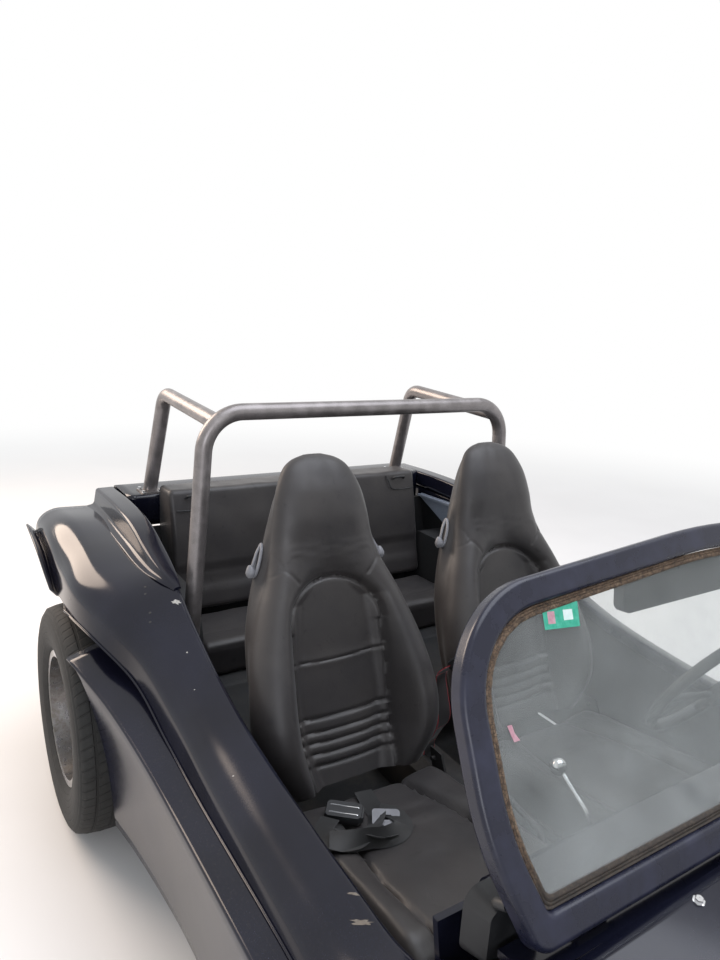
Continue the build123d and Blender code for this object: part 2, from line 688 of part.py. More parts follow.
# Dashboard sheet under the windscreen.
dash_edge_x = rear_x + 1425
dash_edge_z = 758.0
dash_tub_gap = 18.0
dash_half_width = tub_half_width - dash_tub_gap
with BuildPart() as dashboard:
    with BuildSketch(Plane.XZ):
        dash_path = [(dash_edge_x + 35, 600), (dash_edge_x, dash_edge_z), (cowl_x + 20, cowl_height - 2)]
        add(sheet_section(dash_path, [26.0], 12.0))
    extrude(amount=dash_half_width, both=True)
    for hand in (1, -1):
        with Locations((dash_edge_x + 30, hand * (dash_half_width + tub_half_width - part_gap - 20) / 2, 589)):
            Box(30, dash_tub_gap - part_gap + 20, 28)
        with Locations((cowl_x - 14, hand * 490, cowl_height - 2)):
            Box(20, 60, 11)
        with Locations((mirror_x - 30, hand * (mirror_y + 60), mirror_z)):
            Box(170, 240, 136, mode=Mode.SUBTRACT)
    with BuildSketch(wheel_plane):
        Circle(column_tube + part_gap)
    extrude(amount=column_length, mode=Mode.SUBTRACT)
save(dashboard, "dashboard")

# Pedals, gear lever and handbrake
with BuildPart() as pedals:
    for pedal_y, pad_width in ((wheel_y - 120, 48), (wheel_y, 60), (wheel_y + 110, 60)):
        with Locations((rear_x + 1742, pedal_y, 392)):
            Box(8, pad_width, 66)
        pedal_arm = [(rear_x + 1742, pedal_y, 392), (rear_x + 1790, pedal_y, 380), (rear_x + 1790, pedal_y, floor_z)]
        add(tube(pedal_arm, [30.0], 7.0))
save(pedals, "pedals")

with BuildPart() as gear_lever:
    lever_path = [(rear_x + 1290, 0, tunnel_top + 6), (rear_x + 1240, 0, 520), (rear_x + 1130, 0, 590)]
    add(tube(lever_path, [80.0], 6.0))
    with Locations(lever_path[-1]):
        Sphere(21)
    with BuildSketch(Plane.XY.offset(tunnel_top)):
        with Locations(lever_path[0][:2]):
            Circle(34)
    extrude(amount=14, taper=25)
save(gear_lever, "gear_lever")

with BuildPart() as handbrake:
    add(tube([(rear_x + 1110, 0, tunnel_top), (rear_x + 1110, 0, 392), (rear_x + 860, 0, 428)], [20.0], 9.0))
    with BuildSketch(Plane((rear_x + 860, 0, 428), z_dir=(-1, 0, 0.16))):
        Circle(14)
    extrude(amount=-110)
save(handbrake, "handbrake")

# Wheels: rim with hub, drum and tyre
tyre_rows = [
    # name, axle x, half track, tyre radius, tyre width, rim width
    ("rear", rear_x, rear_half_track, rear_tyre_radius, rear_tyre_width, 196.0),
    ("front", front_x, front_half_track, front_tyre_radius, front_tyre_width, 152.0),
]
rim_flange = 14.0
rim_sheet = 5.0
bead_width = 10.0
hub_outer = 46.0
hub_reach = 30.0
for name, axle, track, radius, width, rim_width in tyre_rows:
    half = rim_width / 2
    wheel_frame = Plane((axle, track, radius), x_dir=(1, 0, 0), z_dir=(0, 1, 0))
    section_plane = Plane((axle, track, radius), x_dir=(1, 0, 0), z_dir=(0, 0, -1))
    spin = Axis((axle, track, radius), (0, 1, 0))
    with BuildPart() as rim:
        with BuildSketch(section_plane):
            with BuildLine():
                Polyline((rim_radius + rim_flange, half), (rim_radius + rim_flange, half - rim_sheet),
                         (rim_radius, half - rim_sheet), (rim_radius, rim_sheet - half),
                         (rim_radius + rim_flange, rim_sheet - half), (rim_radius + rim_flange, -half),
                         (rim_radius - rim_sheet, -half), (rim_radius - rim_sheet, half), close=True)
            make_face()
        revolve(axis=spin)
        with BuildSketch(section_plane):
            with BuildLine():
                Polyline((spindle_radius + running_clearance, hub_reach + 14), (hub_outer - 8, hub_reach + 14),
                         (hub_outer + 20, 24), (rim_radius - 60, 8), (rim_radius - rim_sheet + 1, 30),
                         (rim_radius - rim_sheet + 1, 20), (rim_radius - 58, -2), (hub_outer, -8),
                         (hub_outer, -hub_reach), (spindle_radius + running_clearance, -hub_reach), close=True)
            make_face()
        revolve(axis=spin)
        with BuildSketch(wheel_frame.offset(-40)):
            with PolarLocations((hub_outer + rim_radius) / 2 + 6, 5):
                SlotOverall(88, 56, rotation=90)
        extrude(amount=120, mode=Mode.SUBTRACT)
        with BuildSketch(wheel_frame.offset(-hub_reach - drum_width)):
            Circle(drum_radius)
            Circle(spindle_radius + running_clearance, mode=Mode.SUBTRACT)
        extrude(amount=drum_width + 1)
    with BuildPart() as tyre:
        with BuildSketch(section_plane):
            with BuildLine():
                outside = width / 2
                bead = half - rim_sheet
                crown = 0.18 * width
                rounded_path([Vector(*corner) for corner in (
                    (rim_radius, 0), (rim_radius, bead), (rim_radius + rim_flange + 4, bead),
                    (rim_radius + 52, outside), (radius - 44, outside), (radius - 9, outside - 18), (radius, crown),
                    (radius, -crown), (radius - 9, 18 - outside), (radius - 44, -outside), (rim_radius + 52, -outside),
                    (rim_radius + rim_flange + 4, -bead), (rim_radius, -bead), (rim_radius, 0))],
                    [2.0, 3.0, 40.0, 50.0, 22.0, 280.0, 280.0, 22.0, 50.0, 40.0, 3.0, 2.0])
            make_face()
        revolve(axis=spin)
    save_hands(rim, f"rim_{name}")
    save_hands(tyre, f"tyre_{name}")

# Front axle: beam of two tubes, trailing arms, kingpins and knuckles
beam_x = front_x + beam_setback
beam_low = front_tyre_radius - beam_spacing / 2 - 6
beam_high = beam_low + beam_spacing
eye_height = 24.0
eye_radius = 24.0
knuckle_gap = 7.0
arm_y = 505.0
# how far the bulkhead has leaned forward at the height of the frame head
bulkhead_lean = 39.2
with BuildPart() as front_beam:
    for height in (beam_low, beam_high):
        add(tube([(beam_x, -arm_y, height), (beam_x, arm_y, height)], [], beam_tube_radius))
    for plate_y in (-430, -120, 120, 430):
        with Locations((beam_x, plate_y, (beam_low + beam_high) / 2)):
            Box(52, 12, beam_spacing)
    head_back = bulkhead_x + bulkhead_lean
    with Locations(((head_back + beam_x) / 2, 0, beam_low + 4)):
        Box(beam_x - head_back, 150, 70)
    for hand in (1, -1):
        for height in (beam_low, beam_high):
            arm = [(beam_x + 36, hand * arm_y, height), (front_x + 46, hand * arm_y, height),
                   (front_x, hand * kingpin_y, height)]
            add(tube(arm, [30.0], 15.0))
            with Locations((front_x, hand * kingpin_y, height)):
                Cylinder(eye_radius, eye_height)
        with Locations((front_x, hand * kingpin_y, (beam_low + beam_high) / 2)):
            Cylinder(kingpin_radius, beam_spacing)
print("beam", len(front_beam.solids()), front_beam.part.is_valid)
save(front_beam, "front_beam")

sleeve_height = beam_spacing - eye_height - 2 * knuckle_gap
sleeve_radius = 21.0
spindle_end = front_half_track + hub_reach + 8
with BuildPart() as knuckle:
    with BuildSketch(Plane.XZ.offset(-kingpin_y)):
        with Locations((front_x, front_tyre_radius)):
            Circle(spindle_radius)
    extrude(amount=-(spindle_end - kingpin_y))
    with BuildSketch(Plane.XZ.offset(-kingpin_y - sleeve_radius + 6)):
        with Locations((front_x, front_tyre_radius)):
            Circle(34)
    extrude(amount=-8)
    with Locations((front_x, kingpin_y, (beam_low + beam_high) / 2)):
        Cylinder(sleeve_radius, sleeve_height)
    add(tube([(front_x, kingpin_y, beam_low + 42), (front_x - 60, kingpin_y - 8, beam_low + 42),
              (front_x - 125, kingpin_y - 22, beam_low + 42)], [40.0], 10.0))
    with Locations((front_x, kingpin_y, (beam_low + beam_high) / 2)):
        Cylinder(kingpin_radius + running_clearance, beam_spacing, mode=Mode.SUBTRACT)
save_hands(knuckle, "knuckle")

# Rear axle: torsion tube, trailing arms, axle tubes with spindles, and the gearbox
torsion_x = rear_x + 360
torsion_z = 330.0
torsion_half = 520.0
gearbox_half = 120.0
axle_tube_radius = 32.0
inner_rear = rear_half_track - hub_reach - drum_width - moving_gap
with BuildPart() as rear_axle:
    with BuildSketch(Plane.XZ.offset(torsion_half)):
        with Locations((torsion_x, torsion_z)):
            Circle(50)
    extrude(amount=-2 * torsion_half)
    with BuildSketch(Plane.XY.offset(torsion_z)):
        with Locations((torsion_x, -330), (torsion_x, 330)):
            RectangleRounded(70, 90, 10)
    extrude(amount=step_z - tub_wall - part_gap - torsion_z)
    for hand in (1, -1):
        side_plane = Plane.XZ.offset(-hand * (gearbox_half - 10))
        with BuildSketch(side_plane):
            with Locations((rear_x, rear_tyre_radius)):
                Circle(axle_tube_radius)
        extrude(amount=-hand * (inner_rear - gearbox_half + 10))
        with BuildSketch(side_plane):
            with Locations((rear_x, rear_tyre_radius)):
                Circle(spindle_radius)
        extrude(amount=-hand * (rear_half_track + hub_reach + 8 - gearbox_half + 10))
        with BuildSketch(Plane.XZ.offset(-hand * (inner_rear - 70))):
            with BuildLine():
                Polyline((torsion_x + 30, torsion_z + 40), (rear_x - 30, rear_tyre_radius + 46),
                         (rear_x - 30, rear_tyre_radius - 46), (torsion_x + 30, torsion_z - 40), close=True)
            make_face()
        extrude(amount=-hand * 10)
        with BuildSketch(Plane.XZ.offset(-hand * (torsion_half - 10))):
            with Locations((torsion_x, torsion_z)):
                Circle(56)
        extrude(amount=-hand * (inner_rear - 50 - torsion_half))
print("rear axle", len(rear_axle.solids()), rear_axle.part.is_valid)
save(rear_axle, "rear_axle")

gearbox_top = step_z - tub_wall - 10
bell_z = 315.0
engine_front = rear_x - 237
with BuildPart() as gearbox:
    with BuildSketch(Plane.YZ.offset(rear_x - 90)):
        with Locations((0, (gearbox_top + 235) / 2)):
            RectangleRounded(2 * gearbox_half, gearbox_top - 235, 40)
    extrude(amount=200)
    with BuildSketch(Plane.YZ.offset(rear_x + 110)):
        with Locations((0, 325)):
            Circle(78)
    with BuildSketch(Plane.YZ.offset(torsion_x - 54)):
        with Locations((0, 325)):
            Circle(58)
    loft()
    with BuildSketch(Plane.YZ.offset(rear_x - 90)):
        with Locations((0, bell_z)):
            Circle(gearbox_top - bell_z)
    extrude(amount=engine_front + part_gap - rear_x + 90)
    for hand in (1, -1):
        with BuildSketch(Plane.XZ.offset(-hand * (gearbox_half + 0.3))):
            with Locations((rear_x, rear_tyre_radius)):
                Circle(60)
        extrude(amount=hand * 30)
        with BuildSketch(Plane.XZ.offset(-hand * (gearbox_half + 2))):
            with Locations((rear_x, rear_tyre_radius)):
                Circle(axle_tube_radius + 0.3)
        extrude(amount=hand * 40, mode=Mode.SUBTRACT)
print("gearbox", len(gearbox.solids()), gearbox.part.is_valid)
save(gearbox, "gearbox")

# Engine: flat four behind the gearbox, with its fan shroud, and the exhaust under it
crank_z = 345.0
engine_rear = rear_x - 560
barrel_radius = 52.0
fin_radius = 64.0
barrel_start = 130.0
barrel_end = 262.0
head_end = 350.0
cover_end = 384.0
with BuildPart() as engine:
    with BuildSketch(Plane.YZ.offset(engine_front)):
        with Locations((0, crank_z + 4)):
            RectangleRounded(2 * barrel_start + 12, 196, 36)
    extrude(amount=engine_rear - engine_front)
    for hand in (1, -1):
        for barrel_x in (engine_front - 84, engine_front - 210):
            with BuildSketch(Plane.XZ.offset(-hand * barrel_start)):
                with Locations((barrel_x, crank_z)):
                    Circle(barrel_radius)
            extrude(amount=-hand * (barrel_end - barrel_start))
            for fin in range(7):
                with BuildSketch(Plane.XZ.offset(-hand * (barrel_start + 14 + fin * 16))):
                    with Locations((barrel_x, crank_z)):
                        RectangleRounded(2 * fin_radius - 4, 2 * fin_radius, 40)
                extrude(amount=-hand * 5)
        with BuildSketch(Plane.XZ.offset(-hand * barrel_end)):
            with Locations((engine_front - 147, crank_z)):
                RectangleRounded(276, 142, 24)
        extrude(amount=-hand * (head_end - barrel_end))
        with BuildSketch(Plane.XZ.offset(-hand * head_end)):
            with Locations((engine_front - 147, crank_z - 24)):
                RectangleRounded(262, 84, 22)
        extrude(amount=-hand * (cover_end - head_end), taper=14)
    with BuildSketch(Plane.YZ.offset(engine_rear)):
        with Locations((0, crank_z)):
            Circle(84)
            Circle(30, mode=Mode.SUBTRACT)
    extrude(amount=-24)
    with BuildSketch(Plane.YZ.offset(engine_rear)):
        with Locations((0, crank_z)):
            Circle(31)
    extrude(amount=-30)
print("engine", len(engine.solids()), engine.part.is_valid)
save(engine, "engine")

shroud_front = rear_x - 344
shroud_depth = 118.0
shroud_bottom = crank_z + 104
shroud_top = 838.0
fan_z = 664.0
fan_radius = 150.0
with BuildPart() as fan_shroud:
    with BuildSketch(Plane.YZ.offset(shroud_front)):
        with BuildLine():
            rounded_path([Vector(*corner) for corner in (
                (0, shroud_bottom), (285, shroud_bottom), (285, shroud_bottom + 70), (190, fan_z + 60),
                (110, shroud_top), (-110, shroud_top), (-190, fan_z + 60), (-285, shroud_bottom + 70),
                (-285, shroud_bottom), (0, shroud_bottom))], [14.0, 60.0, 120.0, 60.0, 60.0, 120.0, 60.0, 14.0])
        make_face()
    extrude(amount=-shroud_depth)
    fillet(fan_shroud.edges().group_by(Axis.X)[0], 14.0)
    with BuildSketch(Plane.YZ.offset(shroud_front - shroud_depth)):
        with Locations((0, fan_z)):
            Circle(74)
    extrude(amount=-150)
    with BuildSketch(Plane.YZ.offset(shroud_front - shroud_depth - 168)):
        with Locations((0, fan_z)):
            Circle(56)
    extrude(amount=22)
    with Locations((shroud_front - shroud_depth - 90, 0, (crank_z + 102 + fan_z) / 2)):
        Box(90, 70, fan_z - crank_z - 102)
save(fan_shroud, "fan_shroud")

muffler_x = rear_x - 614
muffler_z = 206.0
muffler_radius = 42.0
with BuildPart() as exhaust:
    add(tube([(muffler_x, -270, muffler_z), (muffler_x, 270, muffler_z)], [], muffler_radius))
    for hand in (1, -1):
        add(tube([(muffler_x, hand * 180, muffler_z), (rear_x - 674, hand * 180, muffler_z - 10)], [], 19.0))
        for pipe_x in (engine_front - 84, engine_front - 210):
            pipe = [(pipe_x, hand * 306, crank_z - 71.3), (pipe_x, hand * 306, muffler_z - 20),
                    (muffler_x + 10, hand * 240, muffler_z)]
            add(tube(pipe, [34.0], 17.0))
print("exhaust", len(exhaust.solids()), exhaust.part.is_valid)
save(exhaust, "exhaust")

# Bumpers, plate bracket and lamps
bumper_radius = 21.0
tow_eye_radius = 11.0
front_bumper_x = front_x + front_overhang - bumper_radius
rear_bumper_x = rear_x - rear_overhang + bumper_radius
bumper_z = 430.0
with BuildPart() as front_bumper:
    bar = [(front_x + 520, 590, bumper_z), (front_bumper_x, 520, bumper_z), (front_bumper_x, -520, bumper_z),
           (front_x + 520, -590, bumper_z)]
    add(tube(bar, [70.0, 70.0], bumper_radius))
    for hand in (1, -1):
        bracket = [(beam_x + beam_tube_radius + part_gap, hand * 200, beam_low),
                   (front_bumper_x - 60, hand * 200, beam_low),
                   (front_bumper_x - 4, hand * 200, bumper_z - 8)]
        add(tube(bracket, [50.0], 17.0))
    with BuildSketch(Plane.XZ):
        with Locations((front_bumper_x - 2, bumper_z - bumper_radius - 20)):
            RectangleRounded(44, 60, 10)
            Circle(tow_eye_radius, mode=Mode.SUBTRACT)
    extrude(amount=6, both=True)
save(front_bumper, "front_bumper")

with BuildPart() as rear_bumper:
    bar = [(rear_x - 330, 612, bumper_z + 72), (rear_x - 540, 600, bumper_z + 40), (rear_bumper_x, 520, bumper_z),
           (rear_bumper_x, -520, bumper_z), (rear_x - 540, -600, bumper_z + 40), (rear_x - 330, -612, bumper_z + 72)]
    add(tube(bar, [120.0, 80.0, 80.0, 120.0], bumper_radius))
    for hand in (1, -1):
        pad_plane = Plane((rear_wall_foot[0], hand * 440, rear_wall_foot[1]), x_dir=(0, 1, 0),
                          z_dir=(-rear_wall_run.Y, 0, rear_wall_run.X))
        with BuildSketch(pad_plane.offset(tub_wall + part_gap)):
            with Locations((0, -40)):
                RectangleRounded(70, 60, 10)
        extrude(amount=8)
        pad_middle = pad_plane.from_local_coords((0, -40, tub_wall + part_gap + 4))
        add(tube([tuple(pad_middle), (rear_x - 480, hand * 440, bumper_z + 20), (rear_bumper_x, hand * 440, bumper_z)],
                 [60.0], 16.0))
save(rear_bumper, "rear_bumper")

plate_holes = 290.0
with BuildPart() as plate_bracket:
    with BuildSketch(Plane.YZ.offset(rear_bumper_x - 4)):
        with Locations((0, bumper_z + bumper_radius + 62)):
            RectangleRounded(520, 112, 8)
            with GridLocations(plate_holes, 1, 2, 1):
                Circle(3.2, mode=Mode.SUBTRACT)
    extrude(amount=-3)
    for tab_y in (-180, 180):
        with Locations((rear_bumper_x - 2, tab_y, bumper_z + bumper_radius + 22)):
            Box(4, 40, 44)
save(plate_bracket, "plate_bracket")

with BuildPart() as headlamp_shells:
    with BuildSketch(Plane.YZ.offset(lamp_x)):
        with Locations((lamp_y, lamp_z), (-lamp_y, lamp_z)):
            Circle(lamp_radius)
    extrude(amount=-lamp_length)
    with BuildSketch(Plane.YZ.offset(lamp_x)):
        with Locations((lamp_y, lamp_z), (-lamp_y, lamp_z)):
            Circle(lamp_radius - lamp_rim)
    extrude(amount=-30, mode=Mode.SUBTRACT)
save(headlamp_shells, "headlamp_shells")

lens_radius = lamp_radius - lamp_rim - part_gap
with BuildPart() as headlamp_lenses:
    with BuildSketch(Plane.YZ.offset(lamp_x - 8)):
        with Locations((lamp_y, lamp_z), (-lamp_y, lamp_z)):
            Circle(lens_radius)
    extrude(amount=14)
    fillet(headlamp_lenses.edges().group_by(Axis.X)[-1], 12.0)
save(headlamp_lenses, "headlamp_lenses")

with BuildPart() as tail_lamps:
    with BuildSketch(Plane.YZ.offset(rear_bumper_x + 44)):
        with Locations((400, bumper_z + bumper_radius + 50), (-400, bumper_z + bumper_radius + 50)):
            Circle(44)
    extrude(amount=-62)
    for hand in (1, -1):
        with Locations((rear_bumper_x, hand * 400, bumper_z + bumper_radius + 7.3)):
            Box(20, 30, 14)
save(tail_lamps, "tail_lamps")
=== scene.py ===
import math
import random
import bmesh
import bpy
import numpy as np
from mathutils import Matrix, Vector, noise


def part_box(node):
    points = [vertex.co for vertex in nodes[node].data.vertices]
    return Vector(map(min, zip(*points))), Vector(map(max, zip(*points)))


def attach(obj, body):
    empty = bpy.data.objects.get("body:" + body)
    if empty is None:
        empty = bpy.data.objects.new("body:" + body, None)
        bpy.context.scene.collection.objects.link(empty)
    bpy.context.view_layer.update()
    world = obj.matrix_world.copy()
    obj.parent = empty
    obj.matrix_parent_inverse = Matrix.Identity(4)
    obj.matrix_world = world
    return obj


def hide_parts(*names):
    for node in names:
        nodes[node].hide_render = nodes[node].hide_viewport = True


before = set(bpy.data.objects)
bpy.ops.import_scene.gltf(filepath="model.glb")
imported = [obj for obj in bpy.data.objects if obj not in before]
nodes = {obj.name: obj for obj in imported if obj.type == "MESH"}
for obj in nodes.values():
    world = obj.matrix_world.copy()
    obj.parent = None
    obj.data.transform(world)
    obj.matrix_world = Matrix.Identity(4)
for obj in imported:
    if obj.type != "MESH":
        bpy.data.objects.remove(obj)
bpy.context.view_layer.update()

scene = bpy.context.scene
mm = 0.001
print("frame loaded")


def toLinear(hexText):
    # sRGB hex to the linear values that Blender's shaders use
    values = [int(hexText[i:i + 2], 16) / 255 for i in (1, 3, 5)]
    return [v / 12.92 if v <= 0.04045 else ((v + 0.055) / 1.055) ** 2.4 for v in values] + [1.0]


def wire(tree, source, socket):
    # links a node's first working output, or a named output, to a socket
    if isinstance(source, bpy.types.Node):
        source = next(out for out in source.outputs if out.enabled)
    tree.links.new(source, socket)


def addNode(tree, kind, inputs=(), feeds=None, stops=(), **settings):
    # inputs are values, colours or sources, in the sockets' order or by their names
    node = tree.nodes.new("ShaderNode" + kind)
    for name, value in settings.items():
        setattr(node, name, value)
    for name, value in inputs.items() if isinstance(inputs, dict) else enumerate(inputs):
        if isinstance(value, (bpy.types.Node, bpy.types.NodeSocket)):
            wire(tree, value, node.inputs[name])
        else:
            node.inputs[name].default_value = toLinear(value) if isinstance(value, str) else value
    for at, hexText in stops[2:]:
        node.color_ramp.elements.new(at)
    for element, (at, hexText) in zip(node.color_ramp.elements if stops else (), stops):
        element.position = at
        element.color = toLinear(hexText)
    if feeds is not None:
        wire(tree, node, feeds)
    return node


def startMaterial(name, hexText, roughness, metallic=0.0):
    # the shader's sockets and the place on the object come back with the material
    material = bpy.data.materials.new(name)
    material.use_nodes = True
    tree = material.node_tree
    ends = tree.nodes["Principled BSDF"].inputs
    ends["Base Color"].default_value = toLinear(hexText)
    ends["Roughness"].default_value = roughness
    ends["Metallic"].default_value = metallic
    return material, tree, ends, addNode(tree, "TexCoord").outputs["Object"]


def perMetre(sizeMm):
    # texture scale that gives one pattern cell of this size
    return 1000.0 / sizeMm


# Gel-coat on glass fibre, moulded against a polished tool and waxed: near-black navy with a deep gloss.
gelcoatLook = {"navy": "#10111C", "faded": "#191B29", "dust": "#5A5249", "fadeMm": 260, "rippleMm": 90,
               "waxedSpecular": 0.34}


def makeGelcoat():
    material, tree, ends, place = startMaterial("gelcoatNavyPolished", gelcoatLook["navy"], 0.12)
    # weathered wax holds the mirror back a little
    ends["Specular IOR Level"].default_value = gelcoatLook["waxedSpecular"]
    # sun-faded patches a hand or two across
    patches = addNode(tree, "TexNoise", {"Vector": place, "Scale": perMetre(gelcoatLook["fadeMm"]), "Detail": 4.0})
    colour = addNode(tree, "ValToRGB", [patches], stops=[(0.35, gelcoatLook["navy"]), (0.75, gelcoatLook["faded"])])
    # dust and dried drops, thin on the whole and thicker low down
    height = addNode(tree, "SeparateXYZ", [place]).outputs["Z"]
    low = addNode(tree, "MapRange", [height, 0.2, 0.62, 0.5, 0.04])
    specks = addNode(tree, "TexNoise", {"Vector": place, "Scale": perMetre(7), "Detail": 6.0, "Roughness": 0.75})
    specks = addNode(tree, "MapRange", [specks, 0.52, 0.75, 0.0, 1.0])
    dusty = addNode(tree, "Math", [low, specks], operation="MULTIPLY")
    addNode(tree, "Mix", {0: dusty, 6: colour, 7: gelcoatLook["dust"]}, ends["Base Color"], data_type="RGBA")
    addNode(tree, "MapRange", [patches, 0.3, 0.8, 0.09, 0.2], ends["Roughness"])
    ripple = addNode(tree, "TexNoise", {"Vector": place, "Scale": perMetre(gelcoatLook["rippleMm"]), "Detail": 1.0})
    addNode(tree, "Bump", {"Height": ripple, "Strength": 0.35, "Distance": 0.5 * mm}, ends["Normal"])
    return material


# Brushed-on satin enamel over steel tube: warm grey with a faint metal flake.
cageLook = {"bronze": "#827D7C", "worn": "#969190", "thin": "#6E6968", "flake": "#A7A2A0", "flakeMm": 2.2,
            "brushMm": 45}


def makeCageEnamel():
    material, tree, ends, place = startMaterial("steelTubeSatinEnamel", cageLook["bronze"], 0.36, 0.6)
    flake = addNode(tree, "TexNoise", {"Vector": place, "Scale": perMetre(cageLook["flakeMm"]), "Detail": 3.0})
    brush = addNode(tree, "TexNoise", {"Vector": place, "Scale": perMetre(cageLook["brushMm"]), "Detail": 5.0})
    colour = addNode(tree, "ValToRGB", [brush],
                     stops=[(0.3, cageLook["thin"]), (0.55, cageLook["bronze"]), (0.8, cageLook["worn"])])
    bright = addNode(tree, "MapRange", [flake, 0.45, 0.7, 0.0, 0.25])
    addNode(tree, "Mix", {0: bright, 6: colour, 7: cageLook["flake"]}, ends["Base Color"], data_type="RGBA")
    addNode(tree, "MapRange", [brush, 0.3, 0.8, 0.28, 0.46], ends["Roughness"])
    addNode(tree, "Bump", {"Height": flake, "Strength": 0.5, "Distance": 0.12 * mm}, ends["Normal"])
    return material


# Extruded rubber glazing strip, perished by the sun: dry tan skin that cracks down to black.
sealLook = {"tan": "#7A6652", "dark": "#241F1B", "brown": "#5C4A3B", "pale": "#9A8871", "foot": "#2A2826",
            "crackMm": 7}


def makePerishedRubber():
    material, tree, ends, place = startMaterial("rubberSealPerished", sealLook["tan"], 0.85)
    grain = addNode(tree, "TexNoise", {"Vector": place, "Scale": perMetre(9), "Detail": 8.0, "Roughness": 0.7})
    cracks = addNode(tree, "TexVoronoi", {"Vector": place, "Scale": perMetre(sealLook["crackMm"])},
                     feature="DISTANCE_TO_EDGE")
    colour = addNode(tree, "ValToRGB", [grain], stops=[(0.3, sealLook["dark"]), (0.45, sealLook["brown"]),
                                                       (0.6, sealLook["tan"]), (0.8, sealLook["pale"])])
    cracked = addNode(tree, "MapRange", [cracks, 0.0, 0.12, 0.8, 0.0])
    colour = addNode(tree, "Mix", {0: cracked, 6: colour, 7: sealLook["dark"]}, data_type="RGBA")
    # darker along the foot, below about 0.93 m
    height = addNode(tree, "SeparateXYZ", [place]).outputs["Z"]
    foot = addNode(tree, "MapRange", [height, 0.86, 0.93, 0.8, 0.0])
    addNode(tree, "Mix", {0: foot, 6: colour, 7: sealLook["foot"]}, ends["Base Color"], data_type="RGBA")
    addNode(tree, "Bump", {"Height": grain, "Strength": 0.9, "Distance": 1.6 * mm}, ends["Normal"])
    return material


# Laminated glass with a film of road dust and dried rain: clear blue-grey where wiped, milky low down, where the
# thicker film is partly dust and partly painted reflection of the sky off the dash behind.
def makeGlassDustAndPaintedReflection():
    material, tree, ends, place = startMaterial("laminatedGlassDustAndPaintedReflection", "#E9ECEA", 0.03)
    ends["Transmission Weight"].default_value = 1.0
    ends["IOR"].default_value = 1.1
    haze = addNode(tree, "BsdfPrincipled", {"Base Color": "#B4B7B6", "Roughness": 0.9})
    mist = addNode(tree, "TexNoise", {"Vector": place, "Scale": perMetre(180), "Detail": 5.0, "Roughness": 0.6})
    specks = addNode(tree, "TexNoise", {"Vector": place, "Scale": perMetre(4), "Detail": 4.0, "Roughness": 0.8})
    height = addNode(tree, "SeparateXYZ", [place]).outputs["Z"]
    # painted reflection: the film thickens low down, standing in for the sky reflected off the dash behind the glass
    low = addNode(tree, "MapRange", [height, 0.85, 1.2, 0.30, 0.13])
    mist = addNode(tree, "MapRange", [mist, 0.3, 0.7, 0.6, 1.35])
    film = addNode(tree, "Math", [low, mist], operation="MULTIPLY")
    specks = addNode(tree, "MapRange", [specks, 0.62, 0.8, 0.0, 0.35])
    film = addNode(tree, "Math", [film, specks], operation="ADD")
    addNode(tree, "MixShader", {"Fac": film, 1: tree.nodes["Principled BSDF"], 2: haze},
            tree.nodes["Material Output"].inputs["Surface"])
    return material


# Corrected-grain hide, pigment finished and worn into creases by use: dark grey, painted shade darkening the creases,
# soft sheen on the crowns.
# deep is the painted shade colour laid in the creases
leatherLook = {"grey": "#2B292A", "rubbed": "#3A3736", "deep": "#1A191A", "grainMm": 1.9, "creaseMm": 26,
               "wearMm": 140, "sheen": 0.08, "sheenRoughness": 0.4, "specular": 0.42}


def makeLeather():
    material, tree, ends, place = startMaterial("hideDarkGreyPigmented", leatherLook["grey"], 0.46)
    ends["Sheen Weight"].default_value = leatherLook["sheen"]
    ends["Sheen Roughness"].default_value = leatherLook["sheenRoughness"]
    ends["Specular IOR Level"].default_value = leatherLook["specular"]
    # pebble grain is really under 1 mm, drawn at 1.9 mm so that it shows
    pebbles = addNode(tree, "TexVoronoi", {"Vector": place, "Scale": perMetre(leatherLook["grainMm"])},
                      feature="SMOOTH_F1")
    creases = addNode(tree, "TexNoise", {"Vector": place, "Scale": perMetre(leatherLook["creaseMm"]), "Detail": 7.0,
                                         "Roughness": 0.62, "Distortion": 0.6})
    wear = addNode(tree, "TexNoise", {"Vector": place, "Scale": perMetre(leatherLook["wearMm"]), "Detail": 3.0})
    colour = addNode(tree, "ValToRGB", [wear], stops=[(0.3, leatherLook["grey"]), (0.72, leatherLook["rubbed"])])
    # painted shade: the low parts of the creases get the deep grey
    creaseShade = addNode(tree, "MapRange", [creases, 0.40, 0.30, 0.0, 0.5])
    addNode(tree, "Mix", {0: creaseShade, 6: colour, 7: leatherLook["deep"]}, ends["Base Color"], data_type="RGBA")
    addNode(tree, "MapRange", [wear, 0.3, 0.7, 0.50, 0.38], ends["Roughness"])
    fold = addNode(tree, "Bump", {"Height": creases, "Strength": 0.35, "Distance": 1.2 * mm})
    addNode(tree, "Bump", {"Height": pebbles, "Strength": 0.45, "Distance": 0.25 * mm, "Normal": fold},
            ends["Normal"])
    return material


# Textured black paint rolled on the inside of the tub: flat, gritty, grey with trodden-in dust.
def makeTubPaint():
    material, tree, ends, place = startMaterial("glassFibreTexturePaint", "#17181A", 0.72)
    grit = addNode(tree, "TexNoise", {"Vector": place, "Scale": perMetre(4), "Detail": 5.0, "Roughness": 0.7})
    dirt = addNode(tree, "TexNoise", {"Vector": place, "Scale": perMetre(120), "Detail": 6.0, "Roughness": 0.65})
    height = addNode(tree, "SeparateXYZ", [place]).outputs["Z"]
    low = addNode(tree, "MapRange", [height, 0.2, 0.5, 0.55, 0.08])
    dirt = addNode(tree, "MapRange", [dirt, 0.42, 0.7, 0.0, 1.0])
    dirty = addNode(tree, "Math", [low, dirt], operation="MULTIPLY")
    colour = addNode(tree, "ValToRGB", [grit], stops=[(0.35, "#121315"), (0.7, "#222427")])
    addNode(tree, "Mix", {0: dirty, 6: colour, 7: "#4A4239"}, ends["Base Color"], data_type="RGBA")
    addNode(tree, "Bump", {"Height": grit, "Strength": 0.7, "Distance": 0.8 * mm}, ends["Normal"])
    return material
